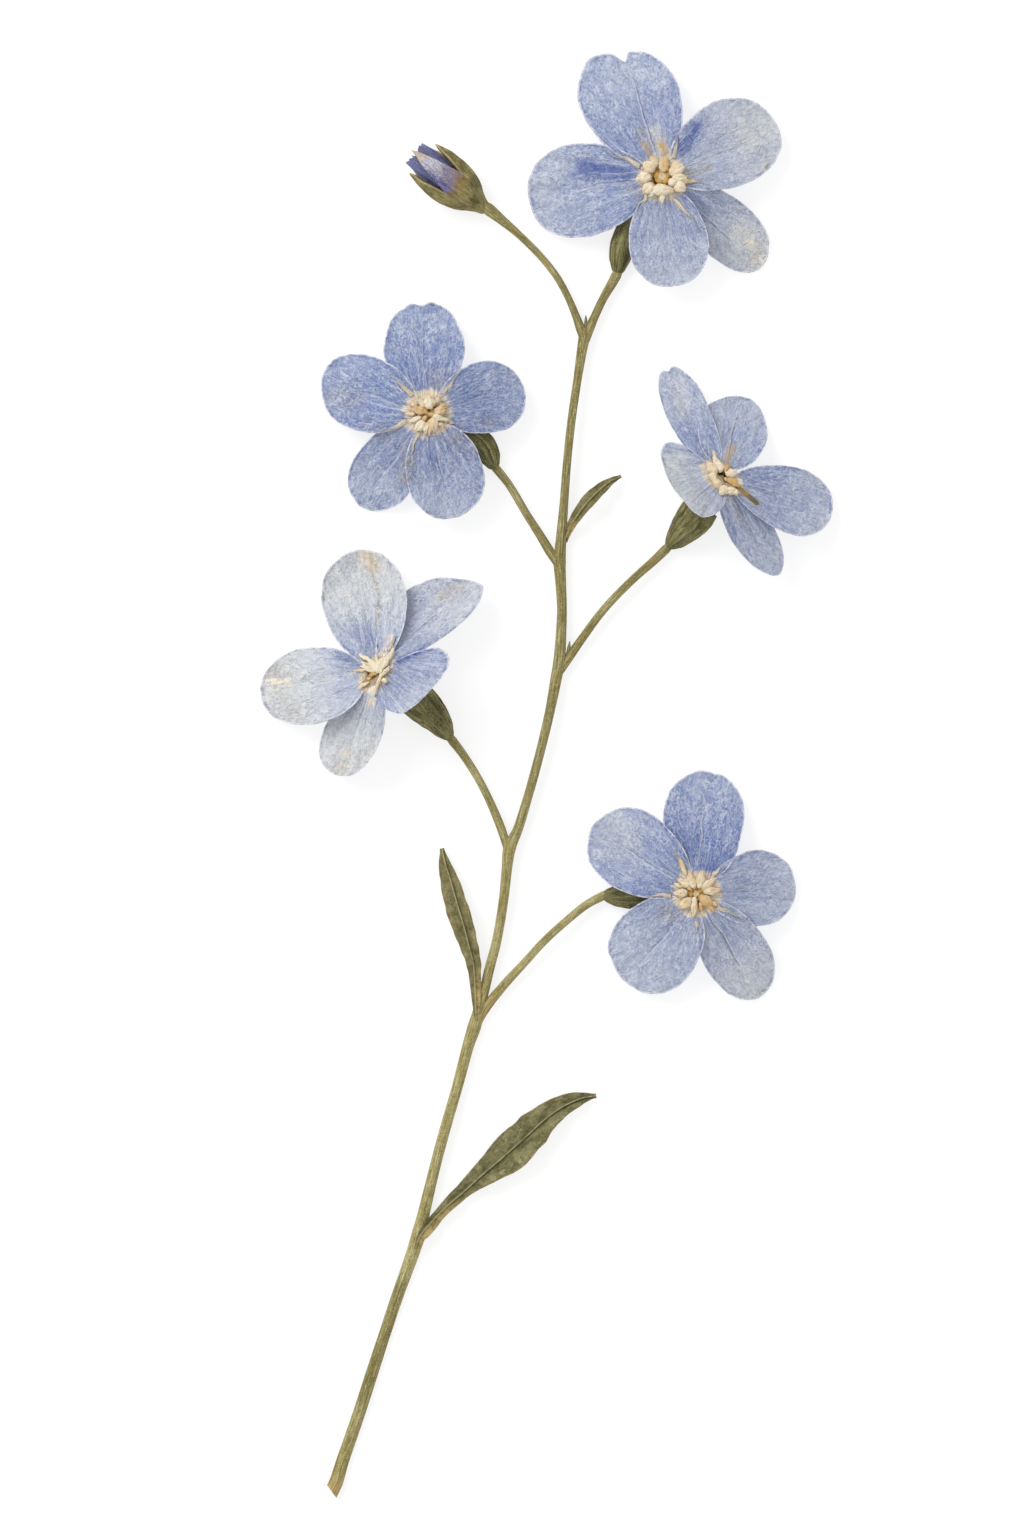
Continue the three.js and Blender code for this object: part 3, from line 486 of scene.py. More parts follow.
def leaf_finish(name):
    """Dry leaf. Its edge mark: share out to the rim and way off the midrib; flow as on fibres."""
    f = Finish(name)
    rim, off_rib, _ = f.values("edge")
    tone, worn = f.grain(1.4, 5.0, 0.66, 0.8, f.flow(1.5, 1.0)), f.grain(3.6, 5.0, 0.68, 1.3)
    f.base = f.mix(f.step(tone, 0.4, 0.6), linear(92, 93, 54), linear(132, 128, 88))
    f.coat(linear(172, 163, 130), f.step(worn, 0.5, 0.64), f.step(rim, 0.1, 0.9, 0.3, 0.9))
    f.coat(linear(70, 66, 36), f.step(worn, 0.45, 0.32, 0.0, 0.7))
    f.coat(linear(160, 152, 112), f.thread(f.grain(5.4, 3.0, 0.6, 1.6), 0.5, 0.035), 0.45)
    f.coat(linear(64, 70, 38), f.thread(off_rib, 0.0, 0.5, 0.08), f.step(tone, 0.6, 0.4, 0.35, 0.8))
    f.coat(linear(98, 80, 48), f.step(f.stirred(rim, worn, 1.2), 0.84, 1.0),
           f.step(f.grain(4.2), 0.38, 0.6, 0.25, 1.0), 0.8)
    f.coat(linear(180, 168, 126), f.step(rim, 0.9, 0.99), f.step(f.grain(2.6), 0.48, 0.6), 0.8)
    # painted shade: a dark line in the groove beside the midrib
    f.coat(linear(48, 50, 26), f.thread(off_rib, -0.07, 0.05, 0.012), f.step(tone, 0.35, 0.55, 0.3, 0.9))
    f.coat(linear(182, 176, 134), f.thread(off_rib, 0.0, 0.04, 0.015),
           f.step(f.grain(3.0, 2.0), 0.36, 0.5, 0.3, 0.85))
    f.coat(linear(176, 156, 104), f.value("tan"), f.step(f.grain(4.4), 0.36, 0.58, 0.35, 1.0))
    veins = f.grain(1.0, 4.0, 0.6, 0.0, f.flow(9.0, 0.8))
    return f.finish(f.weighed((tone, 1.2), (veins, 1.0), (worn, 1.4)), 0.06, 0.8, sheen=0.05)


def bud_sepal_finish(name):
    """Sepals that pass from olive at the foot to gold and speckled pale blue at the front tip."""
    f = Finish(name)
    front, tip, edge = f.values("zones")
    fibres, speckle = f.grain(1.0, 5.0, 0.7, 0.6, f.flow(8.0, 1.4)), f.grain(13.0, 5.0, 0.8)
    f.base = f.mix(f.step(f.grain(1.3), 0.38, 0.6), linear(104, 96, 52), linear(146, 136, 88))
    f.coat(linear(72, 62, 30), f.step(fibres, 0.5, 0.36, 0.0, 0.8))
    f.coat(linear(196, 182, 136), f.step(fibres, 0.54, 0.68, 0.0, 0.7))
    f.coat(linear(84, 72, 40), f.step(speckle, 0.46, 0.34, 0.0, 0.75))
    wavy = f.stirred(tip, f.grain(2.2), 0.5)
    violet = f.times(front, f.step(wavy, 0.42, 0.56))
    f.coat(linear(152, 116, 66), front, f.step(wavy, 0.3, 0.48), f.step(fibres, 0.62, 0.4, 0.35, 0.9))
    f.coat(linear(168, 158, 156), violet, f.step(fibres, 0.4, 0.55, 0.3, 0.9))
    f.coat(linear(88, 90, 146), violet, f.step(speckle, 0.38, 0.6, 0.0, 0.85))
    f.coat(linear(214, 216, 226), front, f.step(wavy, 0.62, 0.8), f.step(speckle, 0.66, 0.42, 0.3, 1.0),
           f.step(fibres, 0.38, 0.56, 0.35, 0.85))
    f.coat(linear(206, 184, 146), front, f.step(wavy, 0.86, 0.96), f.step(speckle, 0.58, 0.46))
    f.coat(linear(200, 178, 130), edge, f.step(speckle, 0.36, 0.52, 0.3, 0.9))
    f.coat(f.mix(f.step(fibres, 0.4, 0.6), linear(70, 72, 132), linear(112, 112, 164)), f.value("blue"),
           f.step(speckle, 0.36, 0.5))
    f.coat(linear(104, 90, 52), f.value("inside"))
    return f.finish(f.weighed((fibres, 1.0), (speckle, 0.8)), 0.05, 0.76, sheen=0.05)


def waxy_finish(name, light, warm, dark, scale, depth):
    """Small lumpy organs. Their warmth mark is 0 where they are pale and 1 where they are golden."""
    f = Finish(name)
    grain = f.grain(scale, 4.0, 0.65)
    f.base = f.mix(f.stirred(f.value("warmth"), f.grain(scale * 0.3, 2.0), 1.4, clamp=True), light, warm)
    f.coat(warm, f.step(grain, 0.5, 0.34, 0.0, 0.45))
    f.coat(dark, f.step(f.grain(scale * 1.7, 3.0, 0.7), 0.38, 0.26, 0.0, 0.7))
    return f.finish(grain, depth, 0.6, subsurface=0.15)


def plain_finish(name, tint, roughness, glow=0.0):
    f = Finish(name)
    tone = f.grain(0.02, 2.0)
    f.base = f.mix(f.step(tone, 0.3, 0.7), tint, [min(1.0, c * 1.03) for c in tint])
    f.fill(f.shader, {"Emission Color": (1.0, 1.0, 1.0, 1.0), "Emission Strength": glow})
    return f.finish(tone, 0.01, roughness)


def finish_of(name, maker, *values):
    return bpy.data.materials.get(name) or maker(name, *values)


# Geometry node groups

class Growth(Nodes):
    """A geometry group under construction, with named inputs and a material."""

    def __init__(self, name, defaults):
        self.tree = bpy.data.node_groups.new(name, "GeometryNodeTree")
        self.socket("Geometry", "Geometry")
        for label, value in defaults.items():
            self.socket(label, "Int" if isinstance(value, int) else "Float").default_value = value
        self.socket("Material", "Material")
        self.socket("Geometry", "Geometry", "OUTPUT")
        self.entry = self.tree.nodes.new("NodeGroupInput").outputs

    def socket(self, label, kind, way="INPUT"):
        return self.tree.interface.new_socket(label, in_out=way, socket_type="NodeSocket" + kind)

    def attribute(self, name, kind="FLOAT"):
        return self.add("GeometryNodeInputNamedAttribute", {"Name": name}, data_type=kind)[0]

    def stored(self, geometry, name, value):
        return self.add("GeometryNodeStoreNamedAttribute", {0: geometry, "Name": name, "Value": value},
                        data_type="FLOAT", domain="POINT")[0]

    def vectors(self, operation, *values):
        return self.add("ShaderNodeVectorMath", dict(enumerate(values)), operation=operation)[0]

    def scaled(self, vector, share):
        return self.add("ShaderNodeVectorMath", {0: vector, "Scale": share}, operation="SCALE")[0]

    def grain(self, where, scale, detail):
        return self.add("ShaderNodeTexNoise", {"Vector": where, "Scale": scale, "Detail": detail})[0]

    def roughened(self, grain, strength):
        return self.times(self.math("SUBTRACT", grain, 0.5), strength)

    def pushed(self, geometry, distance):
        offset = self.scaled(self.add("GeometryNodeInputNormal")[0], distance)
        return self.add("GeometryNodeSetPosition", {0: geometry, "Offset": offset})[0]

    def rounded(self, geometry):
        return self.add("GeometryNodeSetShadeSmooth", {0: geometry, "Shade Smooth": True})[0]

    def close(self, geometry):
        real = self.add("GeometryNodeRealizeInstances", {0: geometry})[0]
        painted = self.add("GeometryNodeSetMaterial", {0: real, "Material": self.entry["Material"]})[0]
        self.add("NodeGroupOutput", {0: painted})
        return self.tree


def grown(mesh, name, values):
    """What a geometry group makes of a mesh, as a plain mesh."""
    tree = bpy.data.node_groups.get(name) or GROUPS[name](name)
    seed_object = bpy.data.objects.new(name + "_seed", mesh)
    bpy.context.scene.collection.objects.link(seed_object)
    modifier = seed_object.modifiers.new("grow", "NODES")
    modifier.node_group = tree
    for item in tree.interface.items_tree:
        if item.item_type == "SOCKET" and item.in_out == "INPUT" and item.name in values:
            modifier[item.identifier] = values[item.name]
    seed_object.update_tag()
    depsgraph = bpy.context.evaluated_depsgraph_get()
    result = bpy.data.meshes.new_from_object(seed_object.evaluated_get(depsgraph), depsgraph=depsgraph)
    seed_object.modifiers.remove(modifier)
    bpy.data.objects.remove(seed_object)
    return result


def stem_group(name):
    """Turns lines with a radius at each point into ridged stems that rest on the surface."""
    g = Growth(name, {"Sides": 42, "Ridges": 7.0, "Ridge height": 0.07, "Roughness": 0.012 * MM})
    lines = g.add("GeometryNodeMeshToCurve", {0: g.entry["Geometry"]})[0]
    level = g.add("GeometryNodeSetCurveNormal", {0: lines}, mode="Z_UP")[0]
    spline = g.add("GeometryNodeSplineParameter")
    circle = g.add("GeometryNodeCurvePrimitiveCircle", {"Resolution": g.entry["Sides"], "Radius": 1.0})[0]
    around, along, radius = (g.attribute(mark) for mark in ("around", "along", "radius"))
    tube = g.add("GeometryNodeCurveToMesh", {
        0: g.stored(level, "along", spline["Length"]), 1: g.stored(circle, "around", spline["Factor"]),
        "Scale": radius, "Fill Caps": True})[0]
    drift = g.grain(g.vector(g.times(along, 160.0), radius), 1.0, 2.0)
    phase = g.math("ADD", g.times(around, 2 * math.pi, g.entry["Ridges"]), g.times(drift, 5.0))
    swell = g.times(g.math("COSINE", phase), g.entry["Ridge height"], radius)
    grain = g.grain(g.add("GeometryNodeInputPosition")[0], 5200.0, 3.0)
    shaped = g.pushed(tube, g.math("ADD", swell, g.roughened(grain, g.entry["Roughness"])))
    rested = g.vectors("MAXIMUM", g.add("GeometryNodeInputPosition")[0], (-1.0, -1.0, 0.0))
    return g.close(g.rounded(g.add("GeometryNodeSetPosition", {0: shaped, "Position": rested})[0]))


def hair_group(name):
    """Grows short hairs that lean along the surface's own grow mark."""
    g = Growth(name, {"Density": 5.0e6, "Length": 0.3 * MM, "Thickness": 0.009 * MM, "Lift": 0.4, "Seed": 3})
    seed = g.entry["Seed"]
    points = g.add("GeometryNodeDistributePointsOnFaces", {
        0: g.entry["Geometry"], "Density": g.entry["Density"], "Seed": seed})
    hair = g.add("GeometryNodeMeshCone", {
        "Vertices": 4, "Side Segments": 2, "Radius Top": 0.0, "Radius Bottom": g.entry["Thickness"],
        "Depth": g.entry["Length"]}, fill_type="NONE")[0]
    lean = g.vectors("ADD", g.attribute("grow", "FLOAT_VECTOR"), g.scaled(points["Normal"], g.entry["Lift"]))
    stray = g.add("FunctionNodeRandomValue", {0: (-0.35,) * 3, 1: (0.35,) * 3, "Seed": seed},
                  data_type="FLOAT_VECTOR")[0]
    turn = g.add("FunctionNodeAlignRotationToVector", {"Vector": g.vectors("ADD", lean, stray)}, axis="Z")[0]
    size = g.add("FunctionNodeRandomValue", {2: 0.5, 3: 1.1, "Seed": seed}, data_type="FLOAT")[1]
    return g.close(g.add("GeometryNodeInstanceOnPoints", {
        0: points[0], "Instance": hair, "Rotation": turn, "Scale": size})[0])


def scale_group(name):
    """Sets pointed, creased lumps on points that carry a turn and a size, and roughens them. It works in mm."""
    g = Growth(name, {"Point": 0.45, "Crease": 0.3, "Dents": 0.2, "Seed": 1})
    ball = g.add("GeometryNodeMeshIcoSphere", {"Radius": 1.0, "Subdivisions": 4})[0]
    x, y, z = g.parts(g.add("GeometryNodeInputPosition")[0])
    outward = g.add("ShaderNodeMapRange", {0: x, 1: -0.2, 2: 1.0}, interpolation_type="SMOOTHSTEP")[0]
    narrow = g.math("SUBTRACT", 1.0, g.times(outward, g.entry["Point"]))
    groove = g.math("EXPONENT", g.times(y, y, -22.0))
    sunk = g.times(groove, g.entry["Crease"], g.math("ADD", 0.35, outward))
    creased = g.math("SUBTRACT", z, g.times(sunk, g.math("GREATER_THAN", z, 0.0)))
    blade = g.add("GeometryNodeSetPosition", {0: ball, "Position": g.vector(x, g.times(y, narrow), creased)})[0]
    spots = g.add("GeometryNodeMeshToPoints", {0: g.entry["Geometry"]})[0]
    turn = g.vector(0.0, g.attribute("pitch"), g.attribute("turn"))
    lumps = g.add("GeometryNodeInstanceOnPoints", {
        0: spots, "Instance": blade, "Rotation": g.add("FunctionNodeEulerToRotation", {0: turn})[0],
        "Scale": g.attribute("size", "FLOAT_VECTOR")})[0]
    real = g.add("GeometryNodeRealizeInstances", {0: lumps})[0]
    shift = g.vector(0.0, 0.0, g.times(g.entry["Seed"], 3.7))
    dents = g.grain(g.vectors("ADD", g.add("GeometryNodeInputPosition")[0], shift), 5.0, 3.0)
    return g.close(g.rounded(g.pushed(real, g.roughened(dents, g.entry["Dents"]))))


GROUPS = {"Ridged stem": stem_group, "Lying hairs": hair_group, "Throat scales": scale_group}


# Stem: knots are [x, y, width, lift of the underside]

MAIN_STEM = [
    [-10.3, -34.43, 0.68, 0], [-10.1, -34.0, 0.68, 0], [-9.79, -33.0, 0.62, 0], [-9.1, -31.0, 0.6, 0],
    [-8.45, -29.0, 0.6, 0], [-7.8, -27.0, 0.57, 0], [-7.13, -25.0, 0.58, 0], [-6.45, -23.1, 0.64, 0],
    [-6.1, -22.0, 0.7, 0], [-5.86, -21.0, 0.58, 0.05], [-5.38, -19.0, 0.52, 0.2], [-4.85, -17.0, 0.52, 0.3],
    [-4.27, -15.0, 0.52, 0.25], [-3.74, -13.0, 0.56, 0.1], [-3.45, -12.1, 0.66, 0.05], [-3.0, -10.5, 0.48, 0.12],
    [-2.72, -9.3, 0.48, 0.2], [-2.38, -8.0, 0.46, 0.3], [-2.04, -6.0, 0.46, 0.42], [-1.88, -4.5, 0.5, 0.4],
    [-1.75, -3.5, 0.62, 0.3], [-1.36, -2.6, 0.48, 0.3], [-0.86, -1.0, 0.44, 0.4], [-0.31, 1.0, 0.44, 0.5],
    [0.17, 3.0, 0.46, 0.45], [0.46, 4.5, 0.54, 0.3], [0.64, 5.5, 0.58, 0.25], [0.71, 6.5, 0.52, 0.25],
    [0.77, 8.0, 0.46, 0.3], [0.71, 9.3, 0.52, 0.3], [0.66, 10.3, 0.6, 0.25], [0.74, 11.5, 0.5, 0.25],
    [0.86, 13.0, 0.42, 0.35], [1.01, 15.0, 0.4, 0.5], [1.22, 17.0, 0.4, 0.55], [1.51, 19.0, 0.4, 0.45],
    [1.74, 20.5, 0.5, 0.3], [1.86, 21.2, 0.58, 0.25], [1.9, 21.45, 0.44, 0.32], [1.92, 21.55, 0.2, 0.44],
]
FLOWER_STALKS = [
    [[1.9, 20.9, 0.4, 0.32], [2.1, 21.5, 0.46, 0.3], [2.36, 22.1, 0.4, 0.32], [2.79, 23.0, 0.4, 0.28],
     [3.14, 23.6, 0.46, 0.25], [3.4, 24.08, 0.5, 0.22]],
    [[0.62, 10.1, 0.4, 0.3], [0.14, 10.85, 0.46, 0.3], [-0.25, 11.5, 0.42, 0.38], [-0.89, 12.5, 0.38, 0.45],
     [-1.79, 14.0, 0.38, 0.35], [-2.4, 14.77, 0.42, 0.25]],
    [[0.66, 5.0, 0.4, 0.25], [1.12, 5.7, 0.44, 0.26], [1.68, 6.5, 0.4, 0.32], [2.8, 8.0, 0.38, 0.42],
     [4.1, 9.35, 0.38, 0.42], [5.27, 10.4, 0.42, 0.32], [5.77, 10.89, 0.46, 0.28]],
    [[-1.82, -3.6, 0.4, 0.32], [-2.17, -2.5, 0.42, 0.35], [-2.81, -1.0, 0.38, 0.45], [-3.34, 0.0, 0.38, 0.45],
     [-3.98, 1.0, 0.4, 0.35], [-4.5, 1.68, 0.46, 0.28]],
    [[-3.5, -12.3, 0.4, 0.12], [-2.95, -11.25, 0.48, 0.15], [-1.95, -10.0, 0.42, 0.25], [-1.03, -9.0, 0.38, 0.4],
     [-0.12, -8.0, 0.38, 0.5], [0.91, -7.05, 0.38, 0.5], [1.97, -6.2, 0.4, 0.35], [2.72, -5.8, 0.44, 0.22]],
]
BUD_STALK = [
    [1.85, 20.9, 0.4, 0.3], [1.66, 21.5, 0.46, 0.3], [1.44, 22.1, 0.37, 0.35], [1.06, 23.0, 0.34, 0.45],
    [0.5, 24.0, 0.34, 0.55], [-0.3, 25.0, 0.34, 0.6], [-1.31, 26.0, 0.35, 0.6], [-2.13, 26.7, 0.46, 0.6],
    [-2.75, 27.2, 0.62, 0.68],
]
STUBS = [
    [[1.9, 21.3, 0.2, 0.35], [1.92, 21.8, 0.16, 0.4], [1.92, 22.0, 0.1, 0.42], [1.92, 22.14, 0.03, 0.45]],
    [[1.0, 5.5, 0.2, 0.3], [1.1, 6.1, 0.18, 0.36], [1.13, 6.33, 0.1, 0.4], [1.15, 6.47, 0.03, 0.43]],
]


def stem_line(knots, spacing, runs_on):
    """Points every spacing millimetres along a stem's knots, and the radius at each. A stalk that
    runs on goes a little way into what it carries."""
    path = [[x, y, REST * width / 2 + lift] for x, y, width, lift in knots]
    if runs_on:
        path.append(list(2.0 * np.array(path[-1]) - path[-2] - 0.5 * (np.array(path[-1]) - path[-2])))
        knots = [*knots, [0, 0, 0.7 * knots[-1][2]]]
    course = Course(path)
    spots = course.knots_at(np.linspace(0, 1, max(6, int(course.walked[-1] / spacing)) + 1))
    widths = np.interp(spots * (len(knots) - 1), np.arange(len(knots)), [knot[2] for knot in knots])
    return course.by_knots(spots), widths / 2


def make_stem(sides, ridges, ridge_height, spacing):
    lines, edges, radii, start = [], [], [], 0
    for knots in [MAIN_STEM, *FLOWER_STALKS, BUD_STALK, *STUBS]:
        points, radius = stem_line(knots, spacing, knots in FLOWER_STALKS or knots is BUD_STALK)
        lines.append(points)
        radii.append(radius)
        edges += [(start + i, start + i + 1) for i in range(len(points) - 1)]
        start += len(points)
    mesh = bpy.data.meshes.new("stem_lines")
    mesh.from_pydata(((np.vstack(lines) + CENTRING) * MM).tolist(), edges, [])
    put_marks(mesh, {"radius": np.concatenate(radii) * MM})
    skin = finish_of("Dry stem", fibre_finish, linear(210, 200, 152), linear(156, 147, 90), linear(94, 82, 40),
                     linear(162, 136, 80))
    tube = grown(mesh, "Ridged stem", {"Sides": sides, "Ridges": ridges, "Ridge height": ridge_height,
                                       "Material": skin})
    place, along = points_of(tube).astype(float), mark_of(tube, "along") / MM
    foot, after = (np.array([*knot[:2], 0.0]) + CENTRING for knot in MAIN_STEM[:2])
    heading = unit(after - foot)

    def from_foot():
        return np.linalg.norm(place[:, :2] / MM - foot[:2], axis=1)

    at_foot = (from_foot() < 0.5) & (along < 1e-6)
    off = (place / MM - foot) @ np.cross(UP, heading)
    place[at_foot] += (CUT_SLANT * off[at_foot, None] * heading) * MM
    move_points(tube, place)
    height = place[:, 1] / MM
    golden = 0.75 * smooth(along, 3.0, 0.7) * (height < -8.0)  # the foot of the lowest stalk
    put_marks(tube, {
        "flow": columns(len(place), mark_of(tube, "around") * 2 * math.pi, along, 0.0),
        "tan": np.where(from_foot() < 4.0, 0.75 * (from_foot() < 0.75), golden),
        "green": np.maximum(0.75 * smooth(height, -6.0, 4.0), 0.9 * smooth(np.abs(height + 28.0), 5.0, 2.0)),
    })
    finish_piece("stem_skin", tube, "stem", "stem")


# Blooms: rises are [share of the way from the calyx's foot to the bloom's middle, height of the axis],
# and radii are [share of that way, radius]

FACE_UP = {
    "tilt": 0.0, "squeeze": 1.0, "height": 1.95, "limb": 1.15,
    "rises": [[0, 0.35], [0.3, 0.6], [0.6, 0.66], [0.84, 0.78], [0.97, 1.15], [1, 1.8]],
    "calyx": {"radii": [[0, 0.18], [0.02, 0.29], [0.06, 0.37], [0.11, 0.47], [0.25, 0.57], [0.5, 0.56],
                        [0.62, 0.5]],
              "mouth": 0.44, "tips": 0.6, "floor": 0.3, "wall": 0.16, "rib": 0.08, "turn": 0.3, "ragged": 0.015},
    "tube_from": 0.33, "tube_radii": [[0, 0.3], [0.7, 0.3], [0.85, 0.42], [1, 0.62]],
}
HALF_TURNED = {
    "tilt": math.radians(28), "squeeze": 0.62, "height": 2.75, "limb": 0.95,
    "rises": [[0, 0.38], [0.3, 0.9], [0.6, 1.45], [0.85, 2.05], [1, 2.5]],
    "calyx": {"radii": [[0, 0.09], [0.02, 0.2], [0.05, 0.3], [0.12, 0.46], [0.2, 0.59], [0.3, 0.73], [0.4, 0.82],
                        [0.5, 0.87], [0.58, 0.84], [0.66, 0.76]],
              "mouth": 0.57, "tips": 0.61, "floor": 0.5, "wall": 0.14, "rib": 0.07, "turn": 0.3, "ragged": 0.012},
    "tube_from": 0.4, "tube_radii": [[0, 0.5], [0.4, 0.62], [1, 0.64]],
}
# A petal is a row of these values, and after them what else is not as in PLAIN_PETAL. aim is its direction
# in degrees; egg widens its outer half, lean its left half; sweep bends its tip to the left; level lifts its
# blade and rise its tip; tone, blue, fade and rib are how blue it is, how deep at its foot, how faded at its
# tip and how strong its midrib.
PETAL_COLUMNS = "aim reach width egg lean sweep level rise tone blue fade rib".split()
PLAIN_PETAL = {"root": 0.46, "skew": 0.0, "notch": 0.0, "notch_at": 0.0, "notch_span": 0.14, "crease": 0.12,
               "shoulder": 0.0}
